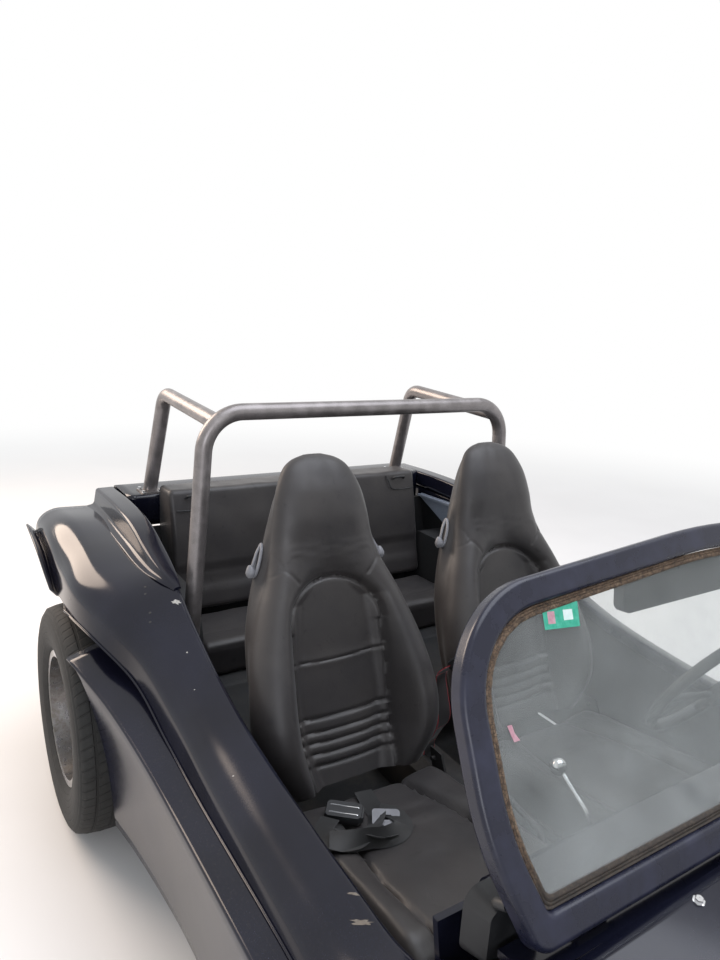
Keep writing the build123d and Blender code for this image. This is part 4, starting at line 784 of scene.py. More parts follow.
def backRing(row):
    h, half, halfRear, crest, crestD, midD, backD = row
    ring = []
    seat = max(0.0, min(1.0, (h - 470) / 90.0))
    for step in range(40):
        t = step / 40
        w = crest * t
        # the bolster rises late below the shoulders and evenly on the head pad
        start = 0.52 * (1 - seat)
        u = max(0.0, (t - start) / (1 - start))
        rise = 0.5 - 0.5 * math.cos(math.pi * u)
        ring.append((w, midD + (crestD - midD) * rise + backRelief(w, h)))
    drop = 0.42 * (crestD - backD)
    for step in range(20):
        turn = math.pi / 2 * step / 20
        w = crest + (half - crest) * math.sin(turn)
        ring.append((w, crestD - drop + drop * math.cos(turn) + backRelief(w, h) * math.cos(turn)))
    # the side face leans in to the shell, whose rear edge has a 30 mm round
    edge = 30.0 * min(1.0, halfRear / 120)
    for step in range(14):
        t = step / 14
        ease = t * t * (3 - 2 * t)
        ring.append((half + (halfRear - half) * ease, crestD - drop + (backD + edge - crestD + drop) * t))
    for step in range(8):
        turn = math.pi / 2 * step / 8
        ring.append((halfRear - edge * (1 - math.cos(turn)), backD + edge * (1 - math.sin(turn))))
    for step in range(12):
        ring.append(((halfRear - edge) * (1 - step / 12), backD - 2 * math.sin(math.pi * step / 24)))
    whole = ring + [(0.0, backD - 2)] + [(-w, d) for w, d in ring[:0:-1]]
    return h, whole


def seatPoint(w, h, d, hand):
    hingeX, hingeY, hingeZ = seatShape["hinge"]
    tilt = math.radians(seatShape["recline"])
    ahead, up = math.cos(tilt), math.sin(tilt)
    return (hingeX + d * ahead - h * up, hand * hingeY + w, hingeZ + d * up + h * ahead)


def makeSeatBack(side, hand):
    heights = list(np.arange(2, 834, seatShape["rowMm"])) + [834, 839, 844, 849, 853, 857, 860, 862, 864]
    rings = []
    for row in easedTable(backRows, heights):
        h, ring = backRing(row)
        rings.append([seatPoint(w, h, d, hand) for w, d in ring])
    body = f"seat_back_{side.lower()}"
    piece = addPiece(f"seatBackPadded{side}", [skin(rings, closed=True, caps=True)], "leather", body, [body],
                     crease=60)
    # release lever on each shoulder: an oval collar on the side face and a pear-shaped pull hung from its top
    levers, shoulders = [], [(row[0], row[2]) for row in backRows]
    (middle, depth), (tall, wide) = leverShape["place"], leverShape["collar"]
    for way in (-1, 1):
        def onSide(h, d, out):
            return seatPoint(way * (float(np.interp(h, *zip(*shoulders))) + out), h, d, hand)
        oval = [onSide(middle + tall * math.cos(a), depth + wide * math.sin(a), 1.5)
                for a in np.linspace(0, 2 * math.pi, 33)[:-1]]
        levers.append(tubeSkin(oval, leverShape["rim"], 12, closed=True))
        stem = [onSide(h, depth, out) for h, out in leverShape["stem"]]
        levers.append(tubeSkin(smoothLine(stem, 14), 4.0, 10))
        pull = aimed(turnedSkin(leverShape["pull"], 20), (0, 0, 0), (-0.3, 0, 0.95))
        levers.append(shifted(pull, onSide(574, depth, 15)))
    addPiece(f"seatLevers{side}", levers, "plasticGrey", f"seat_back_{side.lower()}")
    return piece


# Padded blocks: one outline across the width, rolled in towards both side faces, then puffed and sewn.
def paddedBlock(corners, bends, low, high, roll, relief, steps):
    turns = [(roll * (1 - math.cos(a)), roll * (1 - math.sin(a))) for a in np.linspace(0.0, math.pi / 2, 9)]
    rows, stations = [], [(low + reach, inset) for reach, inset in turns]
    stations += [(y, 0.0) for y in np.linspace(low + roll, high - roll, steps)[1:-1]]
    stations += [(high - reach, inset) for reach, inset in turns[::-1]]
    for y, inset in stations:
        line = closedLine(corners, bends, inset * 0.85, 8, 26)
        row = []
        for i, (x, z) in enumerate(line):
            after, before = line[(i + 1) % len(line)], line[i - 1]
            way = np.array(after) - np.array(before)
            out = np.array((way[1], -way[0])) / max(np.linalg.norm(way), 1e-6)
            push = relief(x, y, z, out) * max(0.0, 1 - inset / roll)
            row.append((x + out[0] * push, y, z + out[1] * push))
        rows.append(row)
    return skin(rows, closed=True, caps=True)


# reach is the half width of the middle panel and fade the bolster's share of its height, both along the cushion
cushionShape = {"puff": 9.0, "bolster": 20.0, "ribs": (112, 132, 152, 196), "halfWidth": 229,
                "reach": ((16, 110, 220, 320, 440, 470, 520, 560), (104, 122, 146, 157, 154, 149, 154, 156)),
                "fade": ((16, 80, 420, 530), (0.5, 1, 1, 0.35))}


def cushionRelief(x, y, z, out):
    if out[1] < 0.35:
        return 2.0 * noise.noise(Vector((x / 60.0, y / 60.0, z / 60.0)))
    along = x - seatShape["hinge"][0]
    side = abs(abs(y) - seatShape["hinge"][1])
    inside = float(np.interp(along, *cushionShape["reach"])) - side
    relief = 0.0
    if inside > 0:
        relief += cushionShape["puff"] * (1 - math.exp(-inside / 18)) - 6
        bowed = along + 10 * (side / 140) ** 2
        for line in cushionShape["ribs"]:
            relief -= 6.0 * math.exp(-((bowed - line) / 4.4) ** 2)
        if 105 < along < 200:
            relief += 3.0
        relief -= 4.6 * math.exp(-((bowed - 312) / 3.6) ** 2)
    else:
        share = float(np.interp(along, *cushionShape["fade"]))
        relief += cushionShape["bolster"] * (1 - math.exp(inside / 22)) * share
    relief -= 8.0 * math.exp(-(inside / 5.0) ** 2)
    return relief + 2.6 * noise.noise(Vector((x / 85.0, y / 70.0, 5.0)))


def makeSeatCushions():
    hingeX, hingeY, hingeZ = seatShape["hinge"]
    corners = [(hingeX + 16, hingeZ - 134), (hingeX + 520, hingeZ - 80), (hingeX + 540, hingeZ + 16),
               (hingeX + 480, hingeZ + 40), (hingeX + 16, hingeZ - 16)]
    for side, hand in handed:
        low, high = (hand * hingeY + way * cushionShape["halfWidth"] for way in (-1, 1))
        part = paddedBlock(corners, [16, 26, 34, 60, 20], low, high, 34, cushionRelief, 60)
        piece = addPiece(f"seatCushionPadded{side}", [part], "leather", "chassis",
                         ["seat_cushions"] if side == "Left" else [], crease=60)


benchShape = {"front": -1042.0, "top": 567.0, "half": 505.0, "split": 3.0, "seams": (650, 712)}


def benchSeatRelief(x, y, z, out):
    if out[1] < 0.5:
        return 1.5 * noise.noise(Vector((x / 60.0, y / 60.0, z / 60.0)))
    relief = 6.0 * math.exp(-((x + 1150) / 110) ** 2)
    relief -= 5.0 * math.exp(-((x + 1122) / 3.6) ** 2)
    return relief + 3.0 * noise.noise(Vector((x / 90.0, y / 90.0, 9.0)))


def benchBackRelief(x, y, z, out):
    if out[0] < 0.4:
        return 1.5 * noise.noise(Vector((x / 60.0, y / 60.0, z / 60.0)))
    relief = 5.0 * math.exp(-((z - 850) / 80) ** 2)
    low, high = benchShape["seams"]
    for line in (low, high):
        relief -= 5.0 * math.exp(-((z - line) / 3.6) ** 2)
    if low + 2 < z < high - 2:
        relief -= 7.0
    return relief + 2.4 * noise.noise(Vector((y / 90.0, z / 90.0, 2.0)))


def makeBench():
    front, top = benchShape["front"], benchShape["top"]
    seatCorners = [(front - 278, 443.6), (front, 453.4), (front, top - 2), (front - 252, top - 10)]
    backCorners = [(front - 344, 566), (front - 247, 572), (front - 343, 976), (-1499.5, 972), (-1499.5, 834)]
    for side, hand in handed:
        low, high = sorted((hand * benchShape["split"], hand * benchShape["half"]))
        seat = paddedBlock(seatCorners, [14, 20, 26, 16], low, high, 20, benchSeatRelief, 60)
        piece = addPiece(f"benchSeatPadded{side}", [seat], "leather", "chassis",
                         ["bench_cushions"] if side == "Left" else [], crease=60)
        back = paddedBlock(backCorners, [12, 20, 22, 18, 30], low, high, 16, benchBackRelief, 60)
        piece = addPiece(f"benchBackPadded{side}", [back], "leather", "chassis",
                         ["bench_backs"] if side == "Left" else [], crease=60)


for side, hand in handed:
    makeSeatBack(side, hand)
makeSeatCushions()
makeBench()
print("seats and bench made")


# Rear deck with turned edges, and the coaming strips that run down from it into the cockpit edge.
deckShape = {"height": 935, "front": -1500, "rear": -1680, "half": 612, "frontFoot": 830, "rearFoot": 863,
             "wall": 4.0}
coamingRows = [(rearX + row[0],) + row[1:] for row in (
    # x, y of the inner edge, top, width, foot height, flare
    (-470, 612, 932, 64, 870.5, 34), (-270, 613, 939, 64, 876, 34), (-80, 615, 937, 64, 871.5, 34),
    (20, 616, 924, 63, 868, 34), (105, 618, 903, 60, 860, 32), (190, 622, 881, 50, 851, 28),
    (262, 628, 861, 32, 846, 20), (308, 632, 842, 12, 832, 8))]


def makeRearDeck():
    height, front, rear, half = (deckShape[key] for key in ("height", "front", "rear", "half"))
    corners = [(front, deckShape["frontFoot"]), (front, height), (rear, height), (rear - 14, deckShape["rearFoot"])]
    line = bentLine(corners, [12, 26])
    plate = skin([[(x, y, z) for x, z in line] for y in np.linspace(-half, half, 40)], flip=True)
    rows = []
    stations = np.linspace(coamingRows[0][0], coamingRows[-1][0], 60)
    for x, inner, top, width, foot, flare in easedTable(coamingRows, stations):
        outer = inner + width
        corners = [(inner, min(foot + 4, top - 3)), (inner, top), (outer, top - 1), (outer + 9, foot + 5),
                   (outer + flare, foot)]
        room = max(0.4, min(1.0, (top - foot) / 40))
        rows.append([(x, y, z) for y, z in bentLine(corners, [8 * room, 11 * room, 14 * room], 7, 4)])
    strips = bothSides(skin(rows, caps=True))
    return addPiece("rearDeckShell", [plate] + strips, "gelcoat", "chassis", ["rear_deck"],
                    deckShape["wall"], 50)


# Road tyres: crowned tread on a squared shoulder; the tread's blocks and grooves come from the material.
# Each axle has x, half track, radius, width and rim width.
tyreShape = {"front": (frontX, 742, 322, 190, 152), "rear": (rearX, 803, 345, 232, 196), "rim": 190.0, "steps": 36}


def makeTyre(axle, side, hand):
    x, track, radius, width, rimWidth = tyreShape[axle]
    outside, bead, rim, sides = width / 2, rimWidth / 2 - 5, tyreShape["rim"], tyreShape["steps"]
    # from the middle of the tread over the shoulder to the bead
    half = [(radius, 0.0), (radius, 0.10 * width), (radius, 0.18 * width), (radius - 4, 0.33 * width),
            (radius - 10, outside - 17), (radius - 24, outside - 7), (radius - 44, outside - 1),
            (radius - 66, outside), (rim + 34, outside - 6), (rim + 18, bead + 4), (rim + 6, bead)]
    profile = half[::-1] + [(r, -a) for r, a in half[1:]]
    part = shifted(turnedSkin(profile, sides), (x, hand * track, radius))
    piece = addPiece(f"roadTyre{axle.title()}{side}", [part], "tyre", f"wheel_{axle}_{side.lower()}",
                     [f"tyre_{axle}_{side.lower()}"], crease=80)
    # flat map in metres, round the tyre and across it, which the tread pattern follows
    layer = piece.data.uv_layers.new(name="treadMap")
    lengths = np.concatenate([[0], np.cumsum(np.hypot(*np.diff(np.array(profile), axis=0).T))])
    middle = lengths[len(profile) // 2]
    for polygon in piece.data.polygons:
        rings = [piece.data.loops[loop].vertex_index // len(profile) for loop in polygon.loop_indices]
        for loop, ring in zip(polygon.loop_indices, rings):
            place = piece.data.loops[loop].vertex_index % len(profile)
            layer.data[loop].uv = (ring / sides * 2 * math.pi * radius * mm, (lengths[place] - middle) * mm)
    return piece


makeRearDeck()
for wheel in wheels:
    makeTyre(*wheel)
print("deck and tyres made")


# Windscreen seal: a grooved rubber strip on the screen's raked plane, with crumbs broken out of its inner edge.
screenShape = {"foot": (418, 0, 809), "rake": 29.2, "half": 648, "height": 512, "crumbMm": 14, "biteMm": 2.6,
               "steps": 420, "glassFace": 2.55}


def screenPoint(u, v, w):
    lean = math.radians(screenShape["rake"])
    x, y, z = screenShape["foot"]
    return (x - v * math.sin(lean) + w * math.cos(lean), y + u, z + v * math.cos(lean) + w * math.sin(lean))


def screenLine(inset):
    half, height = screenShape["half"], screenShape["height"]
    corners = [(half - 40, 0), (half + 4, 150), (half - 16, height - 42), (0, height), (16 - half, height - 42),
               (-4 - half, 150), (40 - half, 0)]
    bends = [max(bend - inset, 12) + inset * 0.5 for bend in (34, 420, 190, 1500, 190, 420, 34)]
    line = closedLine(corners, bends, inset)
    return evenLine(line + [line[0]], screenShape["steps"] + 1)[:-1]


def makeScreenSeal():
    # the grooved section, as inset from the screen's outline and height above its plane
    front = [(45, 4.0), (45, 6.9), (47.2, 6.9), (48.2, 4.8), (49.4, 6.5), (51.4, 6.8), (52.4, 4.6), (53.6, 6.2),
             (56.0, 6.1), (58.0, 5.0), (59.4, 3.8), (59.9, 2.7)]
    rows = []
    for inset, w in front + [(inset, -w) for inset, w in front[::-1]]:
        row = []
        for u, v in screenLine(inset):
            here = Vector((u, v, w)) / screenShape["crumbMm"]
            bite = max(0.0, noise.noise(here * 0.8) + 0.6 * noise.noise(here * 3) - 0.12) * screenShape["biteMm"]
            loss = min(bite * (1.2 if inset > 46 else 0.3), abs(w) - screenShape["glassFace"])
            row.append(screenPoint(u, v, math.copysign(abs(w) - loss, w)))
        rows.append(row)
    return addPiece("screenSealPerished", [skin(rows + [rows[0]], closed=True)], "seal", "chassis", ["screen_seal"],
                    crease=70)


def filmOn(corners, low, high):
    # thin film on the screen's plane, corners given across and up it
    return skin([[screenPoint(u, v, w) for u, v in corners] for w in (low, high)], closed=True, flip=True, caps=True)


# Films on the outside of the glass, kept without any print: corners from the photograph, in mm on the screen's plane.
glassFilms = {
    "filmGreen": [(-446.0, 397.0), (-371.4, 389.4), (-363.4, 427.8), (-440.6, 436.0)],
    "filmPink": [(-436.0, 404.0), (-421.0, 402.4), (-418.0, 421.0), (-433.0, 422.6)],
    "filmWhite": [(-402.0, 404.0), (-382.0, 402.0), (-379.5, 418.0), (-399.5, 420.0)],
}


def makeGlassFilms():
    face = screenShape["glassFace"]
    for count, (finish, corners) in enumerate(glassFilms.items()):
        film = filmOn(corners, face + 0.06 * count, face + 0.2 + 0.12 * count)
        addPiece(f"windscreen{finish.title()}", [film], finish, "chassis")
    strip = [(-556.5, 259.7), (-545.0, 259.6), (-552.0, 271.0), (-553.5, 283.0), (-562.3, 283.6), (-559.5, 271.0)]
    addPiece("windscreenTapeScrap", [filmOn(strip, face, 2.8)], "filmPink", "chassis")


def patchOn(host, centre, radii, seed, ragged):
    # small patch with a ragged outline that follows the skin of its host, just clear of it
    lift = 0.3
    random.seed(seed)
    foot, normal = host.closest_point_on_mesh(Vector(centre) * mm)[1:3]
    side = normal.orthogonal().normalized()
    other = normal.cross(side)
    edge = [1 - random.uniform(0, ragged) for step in range(18)]
    rings = []
    for share in (0.001, 0.35, 0.7, 1.0):
        ring = []
        for step, reach in enumerate(edge):
            turn = 2 * math.pi * step / len(edge)
            move = (side * math.cos(turn) * radii[0] + other * math.sin(turn) * radii[1]) * share * reach
            spot, way = host.closest_point_on_mesh(foot + move * mm)[1:3]
            ring.append(tuple((spot + way * lift * mm) / mm))
        rings.append(ring)
    return skin(rings, closed=True)


# Damage on the body: first seed, raggedness, finish, slot, and each place on the skin with its half sizes.
bodyDamage = {
    "gelcoatChips": (11, 0.55, "bareFibre", "body_gelcoat", [
        ((-858, -655, 812), (17, 9)), ((-1118, -878, 760), (4, 3)), ((-708, -679, 739), (3, 3)),
        ((-1048, -658, 890), (3, 2)), ((-600, -700, 700), (2.5, 2)), ((-330, -720, 650), (3, 2))]),
    # screw holes are flat black discs on the skin: the dark of the open holes is painted shade
    "screwHoleShadeDiscs": (41, 0.05, "tub", "tub_black", [
        ((-947, -714, 833), (3.4, 3.4)), ((-923, -721, 823), (3.4, 3.4)), ((-863, -726, 793), (3.6, 3.6)),
        ((-839, -733, 778), (3.6, 3.6))]),
    "mudScuffs": (61, 0.6, "driedMud", "body_gelcoat", [
        ((54, -646, 625), (14, 4)), ((106, -662, 617), (26, 7)), ((128, -672, 612), (10, 3))]),
}


def makeBodyDamage():
    host = bpy.data.objects["bodySides"]
    bpy.context.view_layer.update()
    for name, (seed, ragged, finish, slotName, spots) in bodyDamage.items():
        patches = [patchOn(host, centre, radii, seed + i, ragged) for i, (centre, radii) in enumerate(spots)]
        addPiece(name, patches, finish, "chassis", outward=False)


def addBand(name, path, tilts, width, thick, finish, count, host=None):
    # flat strap along a path; tilt turns it about its own way; on a host it is raised until it rests on it
    line = smoothLine([list(point) + [tilt] for point, tilt in zip(path, tilts)], count)
    spots = [Vector(point[:3]) for point in line]
    rows, along = [], [0.0]
    for i, spot in enumerate(spots):
        way = (spots[min(i + 1, count - 1)] - spots[max(i - 1, 0)]).normalized()
        up = Vector((0, 0, 1)) if abs(way.z) < 0.9 else Vector((1, 0, 0))
        side = way.cross(up).normalized()
        turn = Matrix.Rotation(math.radians(float(line[i][3])), 3, way)
        side, up = turn @ side, turn @ side.cross(way)
        lift, shares = 0.0, np.linspace(-0.5, 0.5, 7)
        for across in (-0.5, -0.25, 0.0, 0.25, 0.5) if host else ():
            place = spot + side * width * across
            under = touch(host, place + Vector((0, 0, 200)), (0, 0, -1))
            if under:
                lift = max(lift, under.z + thick / 2 + 0.6 - place.z)
        spot = spot + Vector((0, 0, lift))
        top = [spot + side * width * across + up * thick / 2 for across in shares]
        low = [spot + side * width * across - up * thick / 2 for across in shares[::-1]]
        rows.append([tuple(point) for point in top + low])
        if i:
            along.append(along[-1] + (spots[i] - spots[i - 1]).length)
    piece = addPiece(name, [skin(rows, closed=True, caps=True)], finish, "chassis",
                     crease=60)
    # flat map in metres along and across the band, for its weave
    layer = piece.data.uv_layers.new(name="bandMap")
    for loop in piece.data.loops:
        row, place = divmod(loop.vertex_index, 14)
        across = place / 6 - 0.5 if place < 7 else 0.5 - (place - 7) / 6
        layer.data[loop.index].uv = (along[row] * mm, across * width * mm)


def turnedFlat(part, degrees, offset, tip):
    # the part turned about the vertical, tipped about its length, and moved
    turn = Matrix.Rotation(math.radians(degrees), 3, "Z") @ Matrix.Rotation(math.radians(tip), 3, "X")
    return [tuple(turn @ Vector(point) + Vector(offset)) for point in part[0]], part[1]


# Lap belt left in a heap on the near cushion: black webbing in folds, a moulded buckle and a pale tongue.
# Each length of webbing has its points and its tilts about its own way, and the number of steps along it.
beltShape = {"widthMm": 46, "thickMm": 1.6, "buckle": (-322, -428, 446), "buckleTurn": 50, "buckleTip": 8,
             "tongue": (-268, -346, 440), "tongueTurn": 64, "tongueTip": 12}
beltLengths = {
    "lapBeltHeap": ([(-392, -330, 425), (-350, -338, 425), (-300, -350, 430), (-262, -380, 440), (-232, -425, 445),
                     (-215, -470, 455), (-240, -512, 462), (-285, -505, 455), (-318, -470, 450)],
                    [0, 8, 20, 34, 20, 8, -16, -10, 0], 90),
    "lapBeltFold": ([(-236, -520, 470), (-214, -480, 468), (-206, -430, 462), (-196, -385, 455), (-206, -345, 446),
                     (-236, -318, 442), (-275, -322, 440), (-300, -345, 438)], [10, 40, 66, 52, 30, 12, 0, 0], 80),
    "lapBeltUnder": ([(-300, -470, 440), (-262, -462, 446), (-228, -440, 452), (-206, -404, 450), (-212, -366, 446)],
                     [-20, -40, -58, -42, -20], 50),
}


def makeLapBelt():
    host = bpy.data.objects["seatCushionPaddedRight"]
    bpy.context.view_layer.update()
    for name, (path, tilts, count) in beltLengths.items():
        addBand(name, path, tilts, beltShape["widthMm"], beltShape["thickMm"], "webbing", count, host)
    shell = boxSkin((-46, -25, -11), (44, 25, 11), 7.0)
    press = boxSkin((30, -17, -8), (47, 17, 8), 3.0)
    lines = [boxSkin((-36, y - 1.5, 10.4), (34, y + 1.5, 11.9), 0.6) for y in (-12, 10)]
    place = (beltShape["buckleTurn"], beltShape["buckle"], beltShape["buckleTip"])
    buckle, trim = ([turnedFlat(part, *place) for part in parts] for parts in ((shell, press), lines))
    addPiece("lapBeltBuckle", buckle, "plastic", "chassis")
    addPiece("lapBeltBuckleTrim", trim, "chrome", "chassis")
    ring = closedLine([(-34, -20), (30, -26), (38, 22), (-30, 26)], [8, 10, 10, 8])
    hole = [(x * 0.42, y * 0.3) for x, y in ring]
    levels = [(hole, -1.2), (ring, -1.2), (ring, 1.2), (hole, 1.2), (hole, -1.2)]
    plate = skin([[(x, y, z) for x, y in line] for line, z in levels], closed=True)
    tongue = turnedFlat(plate, beltShape["tongueTurn"], beltShape["tongue"], beltShape["tongueTip"])
    addPiece("lapBeltTongue", [tongue], "plasticGrey", "chassis")


# Belt stalk with red edges that stands up between the seats from the tunnel.
stalkShape = {"path": [(-528, -8, 352), (-525, -10, 386), (-495, -10, 443), (-477, -10, 482), (-477, -10, 517),
                       (-493, -10, 565), (-504, -10, 612), (-484, -10, 645), (-450, -8, 676)],
              "tilts": [0, 10, 14, 0, -8, 0, 8, 0, 0], "widthMm": 40, "thickMm": 3.0, "head": (-432, -8, 694),
              "lean": 46}


def makeBeltStalk():
    path, tilts, width, thick = (stalkShape[key] for key in ("path", "tilts", "widthMm", "thickMm"))
    addBand("beltStalkRedEdged", path, tilts, width, thick, "webbingRed", 70)
    points, faces = boxSkin((-14, -20, -36), (14, 20, 36), 6.0)
    lean = Matrix.Rotation(math.radians(stalkShape["lean"]), 3, "Y")
    head = [tuple(lean @ Vector(point) + Vector(stalkShape["head"])) for point in points], faces
    foot = shifted(boxSkin((-22, -16, 0), (22, 16, 4), 3.0), (-530, -8, 349.6))
    addPiece("beltStalkBuckle", [head, foot], "plastic", "chassis")


# Folded-back grab rails and their gussets inside the rear quarters.
railShape = {"from": (-1446, 596, 846), "to": (-1236, 600, 852), "wide": 26, "thick": 9}


def makeSideRails():
    x0, y0, z0 = railShape["from"]
    x1, y1, z1 = railShape["to"]
    half, thick = railShape["wide"] / 2, railShape["thick"]
    section = [(-half, 0), (-half, thick), (-half * 0.45, thick), (-half * 0.35, thick - 3), (half * 0.35, thick - 3),
               (half * 0.45, thick), (half, thick), (half, 0)]
    line = [(x0 + (x1 - x0) * t, y0 + (y1 - y0) * t, z0 + (z1 - z0) * t) for t in np.linspace(0, 1, 12)]
    rail = skin([[(x, y + a, z + b) for a, b in section] for x, y, z in line], closed=True, caps=True)
    corners = [(x0 + 6, y0, z0 - 2), (x1 - 4, y1, z1 - 2), (x1 - 4, y1, z1 - 96)]
    gusset = skin([[(x, y + side, z) for x, y, z in corners] for side in (-3, 3)], closed=True, caps=True)
    addPiece("rearQuarterRails", bothSides(rail) + bothSides(gusset), "railPaint", "chassis")


def makeBenchHandles():
    # stiff loops on the top outer corners of the bench backs, with the piped edge of their flaps
    loop = smoothLine([(-1374, 398, 950), (-1364, 404, 958), (-1361, 424, 960), (-1364, 444, 958),
                       (-1374, 450, 950)], 30)
    flap = smoothLine([(-1378, 366, 965), (-1368, 374, 944), (-1362, 384, 920), (-1360, 402, 911), (-1360, 440, 909),
                       (-1360, 486, 911)], 40)
    parts = bothSides(tubeSkin(loop, 4.5, 10)) + bothSides(tubeSkin(flap, 2.2, 8))
    addPiece("benchBackHandles", parts, "plastic", "chassis")


# Wheel nuts and hub caps, one set on each wheel; the profiles are radius and distance out from the rim's face.
wheelTrim = {"nuts": 5, "circle": 65, "nut": [(9.5, -2), (9.5, 9), (7.5, 12), (2.0, 13.5)],
             "cap": [(38, -6), (38, 16), (35, 21), (26, 25), (12, 27), (1, 27.5)]}


def makeWheelTrims(axle, side, hand):
    x, track, radius = tyreShape[axle][:3]
    hub = nodes[f"rim_{axle}_{side.lower()}"]

    def seated(profile, sides, across, up, probe=0):
        # the turned part on the rim's face, whose depth a ray finds
        face = touch(hub, (x + across + probe, hand * (track + 200), radius + up), (0, -hand, 0))
        return shifted(turnedSkin(profile, sides), (across, face.y * hand - track, up))
    parts = []
    for count in range(wheelTrim["nuts"]):
        turn = 2 * math.pi * (count + 0.5) / wheelTrim["nuts"]
        across, up = wheelTrim["circle"] * math.cos(turn), wheelTrim["circle"] * math.sin(turn)
        parts.append(seated(wheelTrim["nut"], 6, across, up))
    parts.append(seated(wheelTrim["cap"], 40, 0, 0, 30))
    made = [([(px + x, hand * (py + track), pz + radius) for px, py, pz in points],
             [tuple(face)[::-1] for face in faces] if hand < 0 else faces) for points, faces in parts]
    addPiece(f"wheelTrim{axle.title()}{side}", made, "chrome", f"wheel_{axle}_{side.lower()}")


makeScreenSeal()
makeGlassFilms()
makeBodyDamage()
makeLapBelt()
makeBeltStalk()
makeSideRails()
makeBenchHandles()
for wheel in wheels:
    makeWheelTrims(*wheel)
print("seal, films, belts and trims made")


# Small fittings: places in millimetres, x from the middle of the wheelbase.
fittingPlaces = {
    "dials": [(150, 694, 28), (232, 694, 42), (426, 694, 42)],
    "switches": [(-40, 690), (0, 690), (40, 690), (-300, 690)],
    "hoopFoot": (-943, 598, 470), "stayFoot": (-1542, 522, 965), "footBolt": 28,
    "bonnetBolts": [(470, 0), (470, 330), (470, -330), (1560, 110), (1560, -110)],
    "frontBarEnd": ((1859, 520, 430), (1720, 590, 430)), "rearBarEnd": ((-1740, 600, 470), (-1530, 612, 502)),
    "barRadius": 21, "tailLampRadius": 44,
}
# Their turned profiles, as radius and height above the foot.
fittingProfiles = {
    "tailLamp": [(40, 2), (46, 1), (47, -4), (47, -46), (44.4, -46), (44.4, -1), (40, 0), (40, 2)],
    "switch": [(11, -2), (11, 3), (6, 5), (5, 16), (8.5, 19), (8.5, 25), (6, 27), (0.5, 27.4)],
    "bolt": [(9.6, 0), (9.6, 1.4), (6.5, 1.6), (6.5, 6.0), (5.2, 7.2), (0.5, 7.2)],
    "coil": [(26, 0), (27, 2), (27, 96), (24, 99), (13, 101), (11, 116), (7, 118), (6, 128), (0.5, 129)],
    "coilBand": [(28.4, 20), (29.4, 21), (29.4, 37), (28.4, 38)],
    "cap": [(28, 0), (28, 8), (34, 10), (34, 24), (31, 34), (22, 38), (0.5, 39)],
    "spout": [(6.5, 0), (6.5, 12), (4.5, 14), (0.5, 14)], "stand": [(20, 0), (20, 100), (22, 102)],
    "filler": [(18, 0), (18, 70), (26, 72), (30, 76), (30, 92), (26, 96), (0.5, 98)],
}


def alongX(part, place, back=True):
    # a part turned about the y axis, laid so that it faces backwards or forwards
    way = -1 if back else 1
    return [(place[0] + way * y, place[1] + x, place[2] + z) for x, y, z in part[0]], part[1]


def standing(profile, sides, spot):
    # one of the turned profiles, upright on its place
    return aimed(turnedSkin(fittingProfiles[profile], sides), spot, (0, 0, 1))


def makeLampRims():
    high = [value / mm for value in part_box("headlamp_shells")[1]]
    lensLow, lensHigh = ([value / mm for value in corner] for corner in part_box("headlamp_lenses"))
    z, radius = (lensLow[2] + lensHigh[2]) / 2, (lensHigh[2] - lensLow[2]) / 2
    shell = high[2] - z
    profile = [(radius - 1, -2), (radius - 1, 3.5), (radius + 2, 6.5), (shell - 2, 6), (shell + 0.8, 1),
               (shell + 0.8, -14), (shell - 0.5, -14), (shell - 0.5, -2), (radius - 1, -2)]
    rims = [alongX(turnedSkin(profile, 64), (high[0], hand * (high[1] - shell), z), back=False) for hand in (1, -1)]
    addPiece("headlampRims", rims, "chrome", "chassis")
    low, high = ([value / mm for value in corner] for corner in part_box("tail_lamps"))
    lamp, radius = turnedSkin(fittingProfiles["tailLamp"], 48), fittingPlaces["tailLampRadius"]
    rims = [alongX(lamp, (low[0], hand * (high[1] - radius), high[2] - radius)) for hand in (1, -1)]
    addPiece("tailLampHousings", rims, "plastic", "chassis")


def makeDials():
    rims, faces = [], []
    needleTurn = Matrix.Rotation(math.radians(-50), 3, "Y")
    for y, z, size in fittingPlaces["dials"]:
        spot = touch(nodes["dashboard"], (0, y, z), (1, 0, 0))
        rim = [(size + 5, -3), (size + 5, 5), (size + 1, 8), (size - 1, 5), (size - 2, 2), (size - 2, -3)]
        rims.append(alongX(turnedSkin(rim, 48), spot))
        face = [(size - 1, -2), (size - 1, 1.5), (size * 0.5, 1.6), (1, 1.7)]
        faces.append(alongX(turnedSkin(face, 48), spot))
        points, sides = boxSkin((-1.3, 1.8, -6), (1.3, 3.2, size * 0.74), 0.4)
        rims.append(alongX(([tuple(needleTurn @ Vector(point)) for point in points], sides), spot))
    for y, z in fittingPlaces["switches"]:
        spot = touch(nodes["dashboard"], (0, y, z), (1, 0, 0))
        rims.append(alongX(turnedSkin(fittingProfiles["switch"], 24), spot))
    addPiece("dialRimsSwitches", rims, "chrome", "chassis")
    addPiece("dialFaces", faces, "plastic", "chassis")


def makeBolts():
    bolts, out = [], fittingPlaces["footBolt"]
    for x, y, top in (fittingPlaces["hoopFoot"], fittingPlaces["stayFoot"]):
        for hand in (1, -1):
            for dx, dy in ((-out, -out), (-out, out), (out, -out), (out, out)):
                spot = touch(nodes["roll_cage"], (x + dx, hand * (y + dy), top), (0, 0, -1))
                if spot:
                    bolts.append(standing("bolt", 6, spot))
    bonnet = bpy.data.objects["bonnetLid"]
    for x, y in fittingPlaces["bonnetBolts"]:
        found, spot, way = bonnet.ray_cast(Vector((x, y, 1200)) * mm, Vector((0, 0, -1)))[:3]
        if found:
            bolts.append(aimed(turnedSkin(fittingProfiles["bolt"], 6), spot / mm, way))
    addPiece("cageBonnetBolts", bolts, "chrome", "chassis")


